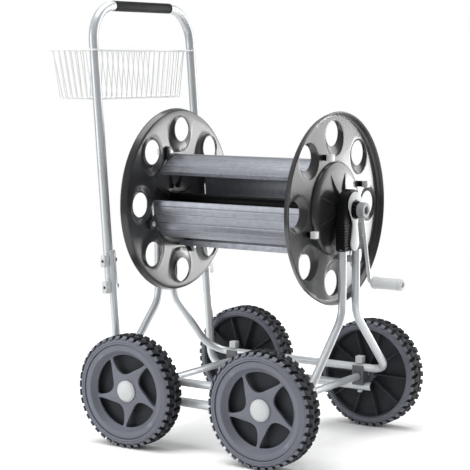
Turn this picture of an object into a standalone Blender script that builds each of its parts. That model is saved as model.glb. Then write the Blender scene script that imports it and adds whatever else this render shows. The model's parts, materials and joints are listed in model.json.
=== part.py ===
"""Four-wheeled garden hose reel cart: tube frame, clamped axles, crank reel, wire basket.

Metres, +Z up. X is the travel direction and the reel's axis, with the crank at +X and the
handle at -X. Y runs along the wheel axles. The origin is on the ground, under the middle
of the whole cart. Every helper works from the middle of the wheelbase; shift_to_middle
moves the finished pieces at the end.
"""

import math

import bmesh
import bpy
from mathutils import Matrix, Vector

# --- driving dimensions -----------------------------------------------------------------
GAP = 0.0003                    # clearance between pieces that touch
MIDDLE_X = 0.02875              # wheelbase middle, seen from the middle of the whole cart

WHEEL_R = 0.125
WHEEL_X = 0.1737                # half the wheelbase
WHEEL_Y = 0.2367                # half the track
TYRE_HALF = 0.0275              # half the tyre's width
TYRE_INNER_R = 0.105
WHEEL_STEPS = 28

AXLE_R = 0.008
AXLE_HALF = WHEEL_Y + 0.0105
TUBE_WALL = 0.0015
SPOKES = 5
WINDOW_AT = 0.0545              # middle of a gap between spokes, from the wheel's axis
WINDOW_R = 0.026
HUB_CAP_R = 0.024

CLAMP_HALF_X = 0.014
CLAMP_HALF_Y = 0.0135
CLAMP_BOTTOM = 0.105
CLAMP_TOP = 0.150
CLAMP_CAP_HALF = 0.00825
CLAMP_CAP_HIGH = 0.0165
BOLT_R = 0.003                  # every bolt of the cart

FRAME_R = 0.009                 # side frame tube
RAIL_Y = 0.182
RAIL_Z = 0.1455
UPRIGHT_X = 0.244
UPRIGHT_Y = 0.030
SPLAY_Z = RAIL_Z + (RAIL_Y - UPRIGHT_Y)     # 45 degree splay
UPRIGHT_TOP = 0.495

HANDLE_R = 0.0108               # upper handle tube
LOWER_R = 0.010                 # lower handle tube
LOWER_Y = 0.185
UPPER_Y = 0.1875
RUNNER_Z = 0.102
RUNNER_END_X = 0.203
LEAN = 0.0745                   # handle's run towards -X for each metre of height
LOWER_FOOT_X = -0.2393          # lower leg's centre line at the runner's height
UPPER_SHIFT_X = -0.006          # upper leg's centre line, from the lower leg's
LAP_BOTTOM = 0.330
LAP_TOP = 0.426
HANDLE_TOP = 0.970
LAP_BOLT_Z = (0.343, 0.402)
LAP_BLOCK = (0.0055, 0.015, 0.013)  # half along X, whole along Y, half along Z
HANDLE_BEND = 0.08

AXIS_Z = 0.528                  # reel axis
FLANGE_R = 0.2105
FLANGE_DISC_X = 0.2045          # outer side of the flange's disc
FLANGE_LIP_X = 0.2175
FLANGE_SKIN = 0.003
HUB_R = 0.104
HUB_NOSE_X = 0.2265
FLANGE_HOLES = 8
THROAT_R = 0.0275
THROAT_AT = 0.1625
MOUTH_R = 0.0385
MOUTH_AT = 0.1525
FUNNEL_DEPTH = 0.010

SLATS = 4
SLAT_FIRST = math.radians(22.5)
SLAT_R = 0.1080
SLAT_SKIN = 0.0035
SLAT_HALF_ANGLE = math.radians(26.0)
SLAT_END_X = FLANGE_DISC_X - FLANGE_SKIN - GAP
SLAT_LIP = 0.015                # height of the lips along a slat's two edges
EAR_R = 0.139
EAR_HALF_ANGLE = math.radians(8.0)
EAR_THICK = 0.004
SLAT_BOLT_AT = 0.1220
SLAT_CAP_HALF = 0.0075
SHAFT_R = 0.016
SPIGOT_R = 0.007

HOUSING_IN_X = 0.232
HOUSING_OUT_X = 0.2555
HOUSING_HALF = 0.0415
HOUSING_BOTTOM = 0.440
HOUSING_SHOULDER = 0.500
ARCH_Z = 0.536
ARCH_R = 0.036
COVER_R = 0.031
COVER_FOOT_R = 0.0185
COVER_EYE_R = 0.021
COVER_THICK = 0.003

KNOB_R = 0.017
KNOB_X = (0.2683, 0.2850)
ARM_R = 0.004
ARM_TOP_X = 0.2742
ELBOW = (0.2942, 0.3735)        # x, z of the crank's elbow
GRIP_RUN = (0.0063, 0.0803)     # where the grip starts and ends, from the elbow

INLET_R = 0.0105
INLET_X = -0.288
INLET_DROP = 0.062

BASKET_TOP = 0.873
BASKET_BOTTOM = 0.757
BASKET_WALL = 0.0025
BASKET_RIM = ((-0.4320, -0.196), (-0.3148, 0.196))      # corners in plan, at the top
BASKET_FLOOR = ((-0.4120, -0.174), (-0.3270, 0.174))

# --- materials: base colour, roughness, metallic ----------------------------------------
FINISHES = {
    "silver_paint": ((0.60, 0.62, 0.63), 0.32, 0.6),
    "zinc": ((0.62, 0.63, 0.64), 0.28, 1.0),
    "clamp_grey": ((0.10, 0.105, 0.115), 0.5, 0.0),
    "light_grey_plastic": ((0.60, 0.61, 0.62), 0.4, 0.0),
    "wheel_grey": ((0.115, 0.12, 0.14), 0.45, 0.0),
    "tyre_black": ((0.03, 0.031, 0.035), 0.75, 0.0),
    "flange_charcoal": ((0.045, 0.046, 0.05), 0.3, 0.0),
    "slat_blue_grey": ((0.16, 0.17, 0.20), 0.35, 0.7),
    "black_plastic": ((0.012, 0.012, 0.014), 0.4, 0.0),
    "basket_white": ((0.75, 0.75, 0.75), 0.4, 0.0),
}


def finish(name):
    """The named Principled material, made once."""
    found = bpy.data.materials.get(name)
    if found:
        return found
    colour, roughness, metallic = FINISHES[name]
    made = bpy.data.materials.new(name)
    made.use_nodes = True
    shader = made.node_tree.nodes["Principled BSDF"]
    shader.inputs["Base Color"].default_value = (*colour, 1.0)
    shader.inputs["Roughness"].default_value = roughness
    shader.inputs["Metallic"].default_value = metallic
    return made


def remove_old_objects():
    for old in list(bpy.data.objects):
        bpy.data.objects.remove(old, do_unlink=True)


def node(name, shape, look, origin=(0.0, 0.0, 0.0), smooth=True):
    """An object named for its piece, with its origin at origin and its faces pointing out."""
    bmesh.ops.recalc_face_normals(shape, faces=shape.faces)
    bmesh.ops.translate(shape, verts=shape.verts, vec=-Vector(origin))
    mesh = bpy.data.meshes.new(name)
    shape.to_mesh(mesh)
    shape.free()
    if smooth:
        mesh.shade_smooth()
        mesh.set_sharp_from_angle(angle=math.radians(35))
    piece = bpy.data.objects.new(name, mesh)
    piece.location = origin
    bpy.context.scene.collection.objects.link(piece)
    mesh.materials.append(finish(look))
    return piece


def cutter(name, shape):
    """A helper solid for a Boolean, which is not a piece of the cart."""
    piece = node(name, shape, "black_plastic", smooth=False)
    piece.hide_render = True
    piece.display_type = "WIRE"
    return piece


def boolean(piece, other, operation="DIFFERENCE"):
    modifier = piece.modifiers.new(operation.lower() + "_" + other.name, "BOOLEAN")
    modifier.operation = operation
    modifier.object = other
    modifier.solver = "EXACT"


# --- shapes -----------------------------------------------------------------------------
def rounded_path(corners, radii, steps=3):
    """The centre line through corners, with each inner corner turned at its own radius."""
    points = [Vector(corners[0])]
    for before, corner, after, radius in zip(corners, corners[1:], corners[2:], radii):
        corner = Vector(corner)
        way_in = (corner - Vector(before)).normalized()
        way_out = (Vector(after) - corner).normalized()
        turn = way_in.angle(way_out)
        reach = radius * math.tan(turn / 2)
        centre = corner + (way_out - way_in).normalized() * (radius / math.cos(turn / 2))
        arm = corner - way_in * reach - centre
        spin = way_in.cross(way_out).normalized()
        for step in range(steps + 1):
            points.append(centre + Matrix.Rotation(turn * step / steps, 3, spin) @ arm)
    points.append(Vector(corners[-1]))
    return points


def frames_along(points):
    """A pair of cross directions at each point, carried along without twisting."""
    tangents = []
    for index, point in enumerate(points):
        before = points[max(index - 1, 0)]
        after = points[min(index + 1, len(points) - 1)]
        step_in = (point - before).normalized() if index else Vector()
        step_out = (after - point).normalized() if index < len(points) - 1 else Vector()
        tangents.append((step_in + step_out).normalized())
    side = tangents[0].orthogonal().normalized()
    pairs = []
    for tangent in tangents:
        side = (side - tangent * side.dot(tangent)).normalized()
        pairs.append((side.copy(), tangent.cross(side)))
    return pairs


def tube(points, radius, wall=TUBE_WALL, sides=8):
    """A bent tube with open ends, or a rod where wall is 0."""
    shape = bmesh.new()
    loops = []
    for ring_radius in ([radius, radius - wall] if wall else [radius]):
        rings = []
        for point, (across, up) in zip(points, frames_along(points)):
            ring = []
            for side in range(sides):
                angle = 2 * math.pi * (side + 0.5) / sides
                offset = across * math.cos(angle) + up * math.sin(angle)
                ring.append(shape.verts.new(point + offset * ring_radius))
            rings.append(ring)
        for ring, following in zip(rings, rings[1:]):
            for side in range(sides):
                other = (side + 1) % sides
                shape.faces.new((ring[side], ring[other], following[other], following[side]))
        loops.append(rings)
    for end in (0, -1):
        if not wall:
            shape.faces.new(loops[0][end])
            continue
        outer, inner = loops[0][end], loops[1][end]
        for side in range(sides):
            other = (side + 1) % sides
            shape.faces.new((outer[side], outer[other], inner[other], inner[side]))
    return shape


def turned(profile, axis, centre, steps=32):
    """A solid turned about axis, from (along, radius) points; it closes on itself or on the axis."""
    shape = bmesh.new()
    axis = Vector(axis)
    across = Vector((0, 0, -1))
    up = axis.cross(across)
    rings = []
    for along, radius in profile:
        at = Vector(centre) + axis * along
        if radius == 0:
            rings.append([shape.verts.new(at)] * steps)
            continue
        ring = []
        for step in range(steps):
            angle = 2 * math.pi * (step + 0.5) / steps
            offset = across * math.cos(angle) + up * math.sin(angle)
            ring.append(shape.verts.new(at + offset * radius))
        rings.append(ring)
    closed = profile[0][1] != 0
    pairs = list(zip(rings, rings[1:]))
    if closed:
        pairs.append((rings[-1], rings[0]))
    for ring, following in pairs:
        for step in range(steps):
            other = (step + 1) % steps
            corners = (ring[step], ring[other], following[other], following[step])
            shape.faces.new(tuple(dict.fromkeys(corners)))
    return shape


def block(low, high):
    shape = bmesh.new()
    size = Vector(high) - Vector(low)
    middle = (Vector(high) + Vector(low)) / 2
    placing = Matrix.Translation(middle) @ Matrix.Diagonal((*size, 1.0))
    bmesh.ops.create_cube(shape, size=1.0, matrix=placing)
    return shape


def plate(outline, x_low, x_high):
    """An outline of (y, z) points made solid from x_low to x_high."""
    shape = bmesh.new()
    low = [shape.verts.new((x_low, y, z)) for y, z in outline]
    high = [shape.verts.new((x_high, y, z)) for y, z in outline]
    shape.faces.new(low)
    shape.faces.new(high)
    for index in range(len(outline)):
        other = (index + 1) % len(outline)
        shape.faces.new((low[index], low[other], high[other], high[index]))
    return shape


def rod(start, end, radius, sides=10):
    """A straight round bar."""
    return tube([Vector(start), Vector(end)], radius, wall=0, sides=sides)


def bore(start, end, radius, sides=10):
    """The space that a round bar of this radius needs, its facets clear of the bar's corners."""
    return rod(start, end, (radius + GAP) / math.cos(math.pi / sides), sides)


def merged(shapes):
    """Several shapes that stay clear of each other, held in one cutter mesh."""
    whole = bmesh.new()
    for shape in shapes:
        mesh = bpy.data.meshes.new("part_of_cutter")
        shape.to_mesh(mesh)
        shape.free()
        whole.from_mesh(mesh)
        bpy.data.meshes.remove(mesh)
    return whole


def arc(centre, radius, start, end, steps):
    """Points on a circle, from one angle in degrees to another."""
    points = []
    for step in range(steps + 1):
        angle = math.radians(start + (end - start) * step / steps)
        points.append((centre[0] + radius * math.cos(angle), centre[1] + radius * math.sin(angle)))
    return points


def around_reel(radius, angle):
    return (radius * math.cos(angle), AXIS_Z + radius * math.sin(angle))


# --- chassis ----------------------------------------------------------------------------
ENDS = (("handle_end", -1), ("crank_end", 1))
SIDES = (("near", -1), ("far", 1))
CORNERS = [(end + "_" + side, end_sign, side_sign)
           for end, end_sign in ENDS for side, side_sign in SIDES]
CLAMP_Y = (RAIL_Y + LOWER_Y) / 2


def clamp_drill():
    """Holes for the four clamp bolts, through rail, block, axle and runner."""
    shapes = []
    for _, end, side in CORNERS:
        x = end * WHEEL_X
        y = side * CLAMP_Y
        shapes.append(bore((x, y, CLAMP_BOTTOM - 0.025), (x, y, CLAMP_TOP + 0.02), BOLT_R))
    return cutter("clamp_drill", merged(shapes))


def make_side_frames(drill):
    """One bent tube on each side: upright, splay, rail, splay, upright."""
    for side_name, side in SIDES:
        corners = [(UPRIGHT_X, side * UPRIGHT_Y, UPRIGHT_TOP),
                   (UPRIGHT_X, side * UPRIGHT_Y, SPLAY_Z),
                   (UPRIGHT_X, side * RAIL_Y, RAIL_Z),
                   (-UPRIGHT_X, side * RAIL_Y, RAIL_Z),
                   (-UPRIGHT_X, side * UPRIGHT_Y, SPLAY_Z),
                   (-UPRIGHT_X, side * UPRIGHT_Y, UPRIGHT_TOP)]
        path = rounded_path(corners, (0.06, 0.034, 0.055, 0.06))
        piece = node("side_frame_" + side_name, tube(path, FRAME_R), "silver_paint")
        boolean(piece, drill)


def make_axles(drill):
    for end_name, end in ENDS:
        ends = [Vector((end * WHEEL_X, sign * AXLE_HALF, WHEEL_R)) for sign in (-1, 1)]
        piece = node("axle_" + end_name, tube(ends, AXLE_R), "silver_paint")
        boolean(piece, drill)


def make_clamps(drill):
    """A block cradles the rail above, the runner below and the axle between them."""
    past = 0.05
    for name, end, side in CORNERS:
        x = end * WHEEL_X
        y = side * CLAMP_Y
        shape = block((x - CLAMP_HALF_X, y - CLAMP_HALF_Y, CLAMP_BOTTOM),
                      (x + CLAMP_HALF_X, y + CLAMP_HALF_Y, CLAMP_TOP))
        piece = node("clamp_block_" + name, shape, "clamp_grey", smooth=False)
        grooves = [bore((x, y - past, WHEEL_R), (x, y + past, WHEEL_R), AXLE_R)]
        for tube_y, tube_z, radius in ((RAIL_Y, RAIL_Z, FRAME_R), (LOWER_Y, RUNNER_Z, LOWER_R)):
            grooves.append(bore((x - past, side * tube_y, tube_z), (x + past, side * tube_y, tube_z), radius))
        for index, groove in enumerate(grooves):
            boolean(piece, cutter(f"groove_{name}_{index}", groove))
        boolean(piece, drill)


def make_clamp_bolts():
    """Square cap, shank and nut in one: the cap sits on the rail, the nut under the runner."""
    half = CLAMP_CAP_HALF
    cap_bottom = RAIL_Z + FRAME_R + GAP
    cap_top = cap_bottom + CLAMP_CAP_HIGH
    nut_top = RUNNER_Z - LOWER_R - GAP
    nut_bottom = nut_top - 0.005
    for name, end, side in CORNERS:
        x = end * WHEEL_X
        y = side * CLAMP_Y
        cap = block((x - half, y - half, cap_bottom), (x + half, y + half, cap_top))
        piece = node("clamp_bolt_" + name, cap, "light_grey_plastic", smooth=False)
        shank = rod((x, y, nut_bottom + 0.001), (x, y, cap_bottom + 0.004), BOLT_R)
        shank = cutter("shank_" + name, shank)
        nut = cutter("nut_" + name, rod((x, y, nut_bottom), (x, y, nut_top), 0.0058, 6))
        boolean(piece, shank, "UNION")
        boolean(piece, nut, "UNION")


# --- wheels -----------------------------------------------------------------------------
def make_wheels():
    flat = math.cos(math.pi / WHEEL_STEPS)      # the lowest facet lies on the ground
    tyre = [(-TYRE_HALF, 0.1165), (-0.021, WHEEL_R / flat), (0.021, WHEEL_R / flat),
            (TYRE_HALF, 0.1165), (TYRE_HALF, TYRE_INNER_R + GAP), (-TYRE_HALF, TYRE_INNER_R + GAP)]
    disc = [(-0.0265, AXLE_R + GAP), (-0.0265, 0.020), (-0.010, 0.022), (-0.010, 0.0985),
            (-0.0235, 0.1020), (-0.0235, 0.1045), (0.0235, 0.1045), (0.0235, 0.0915),
            (0.0120, 0.081), (0.0118, AXLE_R + GAP)]
    hollow = [(-0.006, 0.0225), (-0.006, 0.0960), (0.004, 0.0890), (0.004, 0.0225)]
    cap = [(0.0121, 0), (0.0121, HUB_CAP_R), (0.0160, HUB_CAP_R - 0.0005), (0.0190, 0.017),
           (0.0203, 0.009), (0.0206, 0)]
    for name, end, side in CORNERS:
        centre = Vector((end * WHEEL_X, side * WHEEL_Y, WHEEL_R))
        out = Vector((0, side, 0))
        node("tyre_" + name, turned(tyre, out, centre, WHEEL_STEPS), "tyre_black", centre)
        piece = node("wheel_" + name, turned(disc, out, centre, WHEEL_STEPS), "wheel_grey", centre)
        holes = []
        for index in range(SPOKES):
            angle = math.radians(90 + 360 * index / SPOKES)
            at = centre + Vector((math.cos(angle), 0, math.sin(angle))) * WINDOW_AT
            holes.append(rod(at - out * 0.001, at + out * 0.03, WINDOW_R, 10))
        boolean(piece, cutter("windows_" + name, merged(holes)))
        boolean(piece, cutter("hollow_" + name, turned(hollow, out, centre, WHEEL_STEPS)))
        node("hub_cap_" + name, turned(cap, out, centre, 16), "light_grey_plastic", centre)


# --- handle -----------------------------------------------------------------------------
def lower_x(z):
    return LOWER_FOOT_X - LEAN * (z - RUNNER_Z)


def upper_x(z):
    return lower_x(z) + UPPER_SHIFT_X


def lap_bolt_x(z):
    return (lower_x(z) + upper_x(z)) / 2


def lap_drill():
    shapes = []
    for z in LAP_BOLT_Z:
        for side in (-1, 1):
            x = lap_bolt_x(z)
            shapes.append(bore((x, side * (LOWER_Y - 0.035), z), (x, side * (LOWER_Y + 0.045), z), BOLT_R))
    return cutter("lap_drill", merged(shapes))


def make_lower_handles(drill, lap):
    for side_name, side in SIDES:
        y = side * LOWER_Y
        corners = [(RUNNER_END_X, y, RUNNER_Z), (LOWER_FOOT_X, y, RUNNER_Z),
                   (lower_x(LAP_TOP - 0.004), y, LAP_TOP - 0.004)]
        piece = node("lower_handle_" + side_name, tube(rounded_path(corners, (0.05,), 5), LOWER_R),
                     "silver_paint")
        boolean(piece, drill)
        boolean(piece, lap)


def make_handle_bar(lap):
    """The U-shaped upper tube, its lower ends cut away where they lap the lower tubes."""
    corners = [(upper_x(z), y, z) for y, z in ((-UPPER_Y, LAP_BOTTOM), (-UPPER_Y, HANDLE_TOP),
                                               (UPPER_Y, HANDLE_TOP), (UPPER_Y, LAP_BOTTOM))]
    path = rounded_path(corners, (HANDLE_BEND, HANDLE_BEND), 5)
    piece = node("handle_bar", tube(path, HANDLE_R), "silver_paint")
    seats = []
    for side in (-1, 1):
        low = (lower_x(LAP_BOTTOM - 0.05), side * LOWER_Y, LAP_BOTTOM - 0.05)
        high = (lower_x(LAP_TOP), side * LOWER_Y, LAP_TOP)
        seats.append(bore(low, high, LOWER_R, 14))
    boolean(piece, cutter("lap_seats", merged(seats)))
    boolean(piece, lap)


def make_handle_grip():
    half = UPPER_Y - HANDLE_BEND
    ends = [Vector((upper_x(HANDLE_TOP), sign * half, HANDLE_TOP)) for sign in (-1, 1)]
    node("handle_grip", tube(ends, HANDLE_R + 0.0014, 0.001, 16), "black_plastic")


def make_lap_fittings(lap):
    """On each leg two bolts along Y, with a spacer block outside and a round nut inside."""
    half_x, length, half_z = LAP_BLOCK
    block_in = UPPER_Y + HANDLE_R + GAP
    block_out = block_in + length
    nut_out = LOWER_Y - LOWER_R - GAP
    for side_name, side in SIDES:
        for level, z in zip(("low", "high"), LAP_BOLT_Z):
            x = lap_bolt_x(z)
            faces = sorted((side * block_in, side * block_out))
            shape = block((x - half_x, faces[0], z - half_z), (x + half_x, faces[1], z + half_z))
            name = f"{side_name}_{level}"
            spacer = node("lap_spacer_" + name, shape, "light_grey_plastic", smooth=False)
            boolean(spacer, lap)
            bolt = [(nut_out - 0.008, 0), (nut_out - 0.0075, 0.0045), (nut_out - 0.005, 0.0062),
                    (nut_out, 0.0062), (nut_out, BOLT_R), (block_out - 0.002, BOLT_R), (block_out - 0.002, 0)]
            node("lap_bolt_" + name, turned(bolt, (0, side, 0), (x, 0, z), 10), "black_plastic")


# --- basket -----------------------------------------------------------------------------
def make_basket():
    """An open tray with the outline of the wire basket, hung outside the handle."""
    shape = bmesh.new()

    def ring(box, z, inset):
        (x0, y0), (x1, y1) = box
        x0, y0, x1, y1 = x0 + inset, y0 + inset, x1 - inset, y1 - inset
        return [shape.verts.new((x, y, z)) for x, y in ((x0, y0), (x1, y0), (x1, y1), (x0, y1))]

    outer_low = ring(BASKET_FLOOR, BASKET_BOTTOM, 0)
    outer_high = ring(BASKET_RIM, BASKET_TOP, 0)
    inner_high = ring(BASKET_RIM, BASKET_TOP, BASKET_WALL)
    inner_low = ring(BASKET_FLOOR, BASKET_BOTTOM + BASKET_WALL, BASKET_WALL)
    loops = (outer_low, outer_high, inner_high, inner_low)
    for loop, following in zip(loops, loops[1:]):
        for index in range(4):
            other = (index + 1) % 4
            shape.faces.new((loop[index], loop[other], following[other], following[index]))
    shape.faces.new(outer_low)
    shape.faces.new(inner_low)
    node("basket", shape, "basket_white", smooth=False)


# --- bearings ---------------------------------------------------------------------------
def make_bearings():
    """At each end a housing that takes both uprights and the shaft, with a keyhole-shaped cover."""
    outline = [(HOUSING_HALF, HOUSING_BOTTOM), (HOUSING_HALF, HOUSING_SHOULDER)]
    outline += arc((0, ARCH_Z), ARCH_R, 0, 180, 10)
    outline += [(-HOUSING_HALF, HOUSING_SHOULDER), (-HOUSING_HALF, HOUSING_BOTTOM)]
    cover = arc((0, ARCH_Z), COVER_R, -65, 245, 18)
    cover += arc((0, HOUSING_BOTTOM + 0.016), COVER_FOOT_R, 190, 350, 8)
    for end_name, end in ENDS:
        inside, outside = end * HOUSING_IN_X, end * HOUSING_OUT_X
        piece = node("bearing_housing_" + end_name, plate(outline, inside, outside), "black_plastic")
        bores = [bore((end * 0.2, 0, AXIS_Z), (end * 0.3, 0, AXIS_Z), SHAFT_R, 20)]
        for side in (-1, 1):
            bores.append(bore((end * UPRIGHT_X, side * UPRIGHT_Y, 0.4),
                              (end * UPRIGHT_X, side * UPRIGHT_Y, UPRIGHT_TOP + GAP), FRAME_R, 12))
        boolean(piece, cutter("bores_" + end_name, merged(bores)))
        faces = (end * (HOUSING_OUT_X + GAP), end * (HOUSING_OUT_X + GAP + COVER_THICK))
        piece = node("bearing_cover_" + end_name, plate(cover, *faces), "light_grey_plastic")
        eye = rod((end * 0.25, 0, AXIS_Z), (end * 0.27, 0, AXIS_Z), COVER_EYE_R, 20)
        boolean(piece, cutter("cover_eye_" + end_name, eye))


# --- reel -------------------------------------------------------------------------------
def make_flanges():
    """Shallow pans, open outwards, with a conical hub and eight funnel-mouthed holes."""
    inner = FLANGE_DISC_X - FLANGE_SKIN
    step = FLANGE_DISC_X + 0.008
    nose = HUB_NOSE_X - 0.003
    profile = [(HUB_NOSE_X, SHAFT_R + GAP), (HUB_NOSE_X, 0.030), (step, HUB_R), (FLANGE_DISC_X + 0.0025, HUB_R),
               (FLANGE_DISC_X, 0.1995), (FLANGE_LIP_X, 0.2072), (FLANGE_LIP_X, FLANGE_R),
               (inner, 0.2035), (inner + 0.002, HUB_R - 0.003), (nose, 0.030), (nose, SHAFT_R + GAP)]
    for end_name, end in ENDS:
        piece = node("reel_flange_" + end_name,
                     turned(profile, (end, 0, 0), (0, 0, AXIS_Z), 32), "flange_charcoal", (0, 0, AXIS_Z))
        walls = []
        throats = []
        for index in range(FLANGE_HOLES):
            angle = math.radians(90 + 360 * index / FLANGE_HOLES)
            walls.append(funnel(end, angle, FLANGE_SKIN * 0.8, 0.0, 0.0006))
            throats.append(funnel(end, angle, 0.0, 0.004, 0.0))
        boolean(piece, cutter("funnel_walls_" + end_name, merged(walls)), "UNION")
        boolean(piece, cutter("funnel_throats_" + end_name, merged(throats)))
        bolts = [bore((end * 0.18, *around_reel(SLAT_BOLT_AT, slat_angle(index))),
                      (end * 0.22, *around_reel(SLAT_BOLT_AT, slat_angle(index))), BOLT_R)
                 for index in range(SLATS)]
        boolean(piece, cutter("flange_drill_" + end_name, merged(bolts)))


def funnel(end, angle, skin, overrun, sunk):
    """A leaning cone from a hole's wide mouth to its throat, skin larger all round.

    Both its ends run on by overrun, and the whole cone lies sunk below the disc's outer face.
    """
    shape = bmesh.new()
    steps = 10
    rings = []
    for along in (-overrun, FUNNEL_DEPTH + overrun):
        share = along / FUNNEL_DEPTH
        x = end * (FLANGE_DISC_X - sunk - along)
        radius = MOUTH_R + (THROAT_R - MOUTH_R) * share + skin
        y, z = around_reel(MOUTH_AT + (THROAT_AT - MOUTH_AT) * share, angle)
        ring = []
        for step in range(steps):
            turn = 2 * math.pi * step / steps
            ring.append(shape.verts.new((x, y + radius * math.cos(turn), z + radius * math.sin(turn))))
        rings.append(ring)
    for step in range(steps):
        other = (step + 1) % steps
        shape.faces.new((rings[0][step], rings[0][other], rings[1][other], rings[1][step]))
    shape.faces.new(rings[0])
    shape.faces.new(rings[1])
    bmesh.ops.recalc_face_normals(shape, faces=shape.faces)
    return shape


def slat_angle(index):
    return SLAT_FIRST + 2 * math.pi * index / SLATS


def make_slats():
    """Arched channels that carry the hose, with a bolted ear at each end."""
    half = SLAT_HALF_ANGLE
    steps = 8
    lip = math.radians(2.2)
    for index in range(SLATS):
        middle = slat_angle(index)
        outer = [around_reel(SLAT_R, middle + half * (2 * step / steps - 1)) for step in range(steps + 1)]
        inner = [around_reel(SLAT_R - SLAT_SKIN, middle + (half - lip) * (1 - 2 * step / steps))
                 for step in range(steps + 1)]
        foot = SLAT_R - SLAT_LIP
        high_lip = [around_reel(foot, middle + half), around_reel(foot, middle + half - lip)]
        low_lip = [around_reel(foot, middle - half + lip), around_reel(foot, middle - half)]
        outline = outer + high_lip + inner + low_lip
        piece = node(f"drum_slat_{index + 1}", plate(outline, -SLAT_END_X, SLAT_END_X), "slat_blue_grey",
                     (0, 0, AXIS_Z))
        half_ear = [(SLAT_R - 0.002, 1.0), (EAR_R - 0.005, 0.8), (EAR_R, 0.4)]
        outline = [around_reel(radius, middle - share * EAR_HALF_ANGLE) for radius, share in half_ear]
        outline += [around_reel(radius, middle + share * EAR_HALF_ANGLE)
                    for radius, share in reversed(half_ear)]
        ears = [plate(outline, end * (SLAT_END_X - EAR_THICK), end * SLAT_END_X) for end in (-1, 1)]
        boolean(piece, cutter(f"slat_ears_{index + 1}", merged(ears)), "UNION")
        at = around_reel(SLAT_BOLT_AT, middle)
        boolean(piece, cutter(f"slat_drill_{index + 1}", bore((-0.21, *at), (0.21, *at), BOLT_R)))


def make_slat_bolts():
    """A round head inside the drum, a spacer and a square cap outside, at each end of each slat."""
    head = SLAT_END_X - EAR_THICK - GAP
    face = FLANGE_DISC_X + 0.0025
    half = SLAT_CAP_HALF
    for index in range(SLATS):
        y, z = around_reel(SLAT_BOLT_AT, slat_angle(index))
        for end_name, end in ENDS:
            stem = [(head - 0.003, 0), (head - 0.003, 0.0045), (head, 0.0055), (head, BOLT_R),
                    (face, BOLT_R), (face, 0.0060), (face + 0.011, 0.0060), (face + 0.011, 0)]
            shape = turned(stem, (end, 0, 0), (0, y, z), 8)
            piece = node(f"slat_bolt_{index + 1}_{end_name}", shape, "light_grey_plastic", (0, 0, AXIS_Z))
            low, high = sorted((end * (face + 0.010), end * (face + 0.023)))
            cap = block((low, y - half, z - half), (high, y + half, z + half))
            boolean(piece, cutter(f"slat_cap_{index + 1}_{end_name}", cap), "UNION")


def make_shaft():
    """The reel's shaft: hollow for the water from the handle end, a spigot for the crank at the other."""
    profile = [(-0.2622, 0.0115), (-0.2622, SHAFT_R), (HOUSING_OUT_X + COVER_THICK, SHAFT_R),
               (HOUSING_OUT_X + 0.0045, 0.0155), (KNOB_X[0] - GAP, 0.0155), (KNOB_X[0] - GAP, SPIGOT_R),
               (0.2770, SPIGOT_R), (0.2770, 0.0040), (0.2500, 0.0040), (0.2500, 0.0115)]
    shape = turned(profile, (1, 0, 0), (0, 0, AXIS_Z), 20)
    node("reel_shaft", shape, "black_plastic", (0, 0, AXIS_Z))


# --- crank ------------------------------------------------------------------------------
GRIP_WAY = Vector((1, 0, 0))


def make_crank():
    elbow = Vector((ELBOW[0], 0, ELBOW[1]))
    arm_top = Vector((ARM_TOP_X, 0, AXIS_Z - 0.0095))
    profile = [(KNOB_X[0], SPIGOT_R + GAP), (KNOB_X[0], KNOB_R - 0.001), (KNOB_X[0] + 0.001, KNOB_R),
               (KNOB_X[1] - 0.0015, KNOB_R), (KNOB_X[1], KNOB_R - 0.0015), (KNOB_X[1], SPIGOT_R + GAP)]
    knob = node("crank_knob", turned(profile, (1, 0, 0), (0, 0, AXIS_Z), 20), "light_grey_plastic",
                (0, 0, AXIS_Z))
    way = (elbow - arm_top).normalized()
    socket = bore(arm_top - way * GAP, arm_top + way * 0.03, ARM_R, 12)
    boolean(knob, cutter("crank_socket", socket))
    path = rounded_path([arm_top, elbow, elbow + GRIP_WAY * (GRIP_RUN[1] - 0.004)], (0.006,), 3)
    node("crank_arm", tube(path, ARM_R, 0, 10), "zinc", (0, 0, AXIS_Z))
    start, end = GRIP_RUN
    grip = [(start, ARM_R + GAP), (start, 0.0135), (start + 0.010, 0.0135), (start + 0.012, 0.0127),
            (end - 0.012, 0.0122), (end - 0.010, 0.0130), (end, 0.0130), (end, ARM_R + GAP)]
    node("crank_grip", turned(grip, GRIP_WAY, elbow, 18), "light_grey_plastic", elbow)


def make_inlet():
    """The elbow that a tap hose screws on to, fixed at the handle end of the shaft."""
    corners = [(-0.2626, 0, AXIS_Z), (INLET_X, 0, AXIS_Z), (INLET_X, 0, AXIS_Z - INLET_DROP)]
    path = rounded_path(corners, (0.014,), 3)
    node("inlet_elbow", tube(path, INLET_R, 0.003, 10), "light_grey_plastic")


def shift_to_middle():
    """Puts the origin under the middle of the whole cart, crank and basket included."""
    for piece in bpy.data.objects:
        piece.location.x += MIDDLE_X


def main():
    remove_old_objects()
    drill = clamp_drill()
    lap = lap_drill()
    make_side_frames(drill)
    make_axles(drill)
    make_clamps(drill)
    make_clamp_bolts()
    make_wheels()
    make_lower_handles(drill, lap)
    make_handle_bar(lap)
    make_handle_grip()
    make_lap_fittings(lap)
    make_basket()
    make_bearings()
    make_flanges()
    make_slats()
    make_slat_bolts()
    make_shaft()
    make_crank()
    make_inlet()
    shift_to_middle()


main()
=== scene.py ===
# %% [markdown]
# # A four-wheeled garden hose reel cart
#
# The cart has two bent side tubes on two axles, a leaning push handle, a wire basket, and a
# hose drum that a crank turns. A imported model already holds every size, place and joint. This
# lesson builds the finished surfaces around it, one piece at a time: bent tubes, moulded
# flanges, treaded tyres, welded wire. Lengths are in metres. X runs along the drum's axis to
# the crank, Y along the wheel axles, and Z up.

# %% Load the model to build around
import json
import math

import bmesh
import bpy
from mathutils import Matrix, Vector


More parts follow.
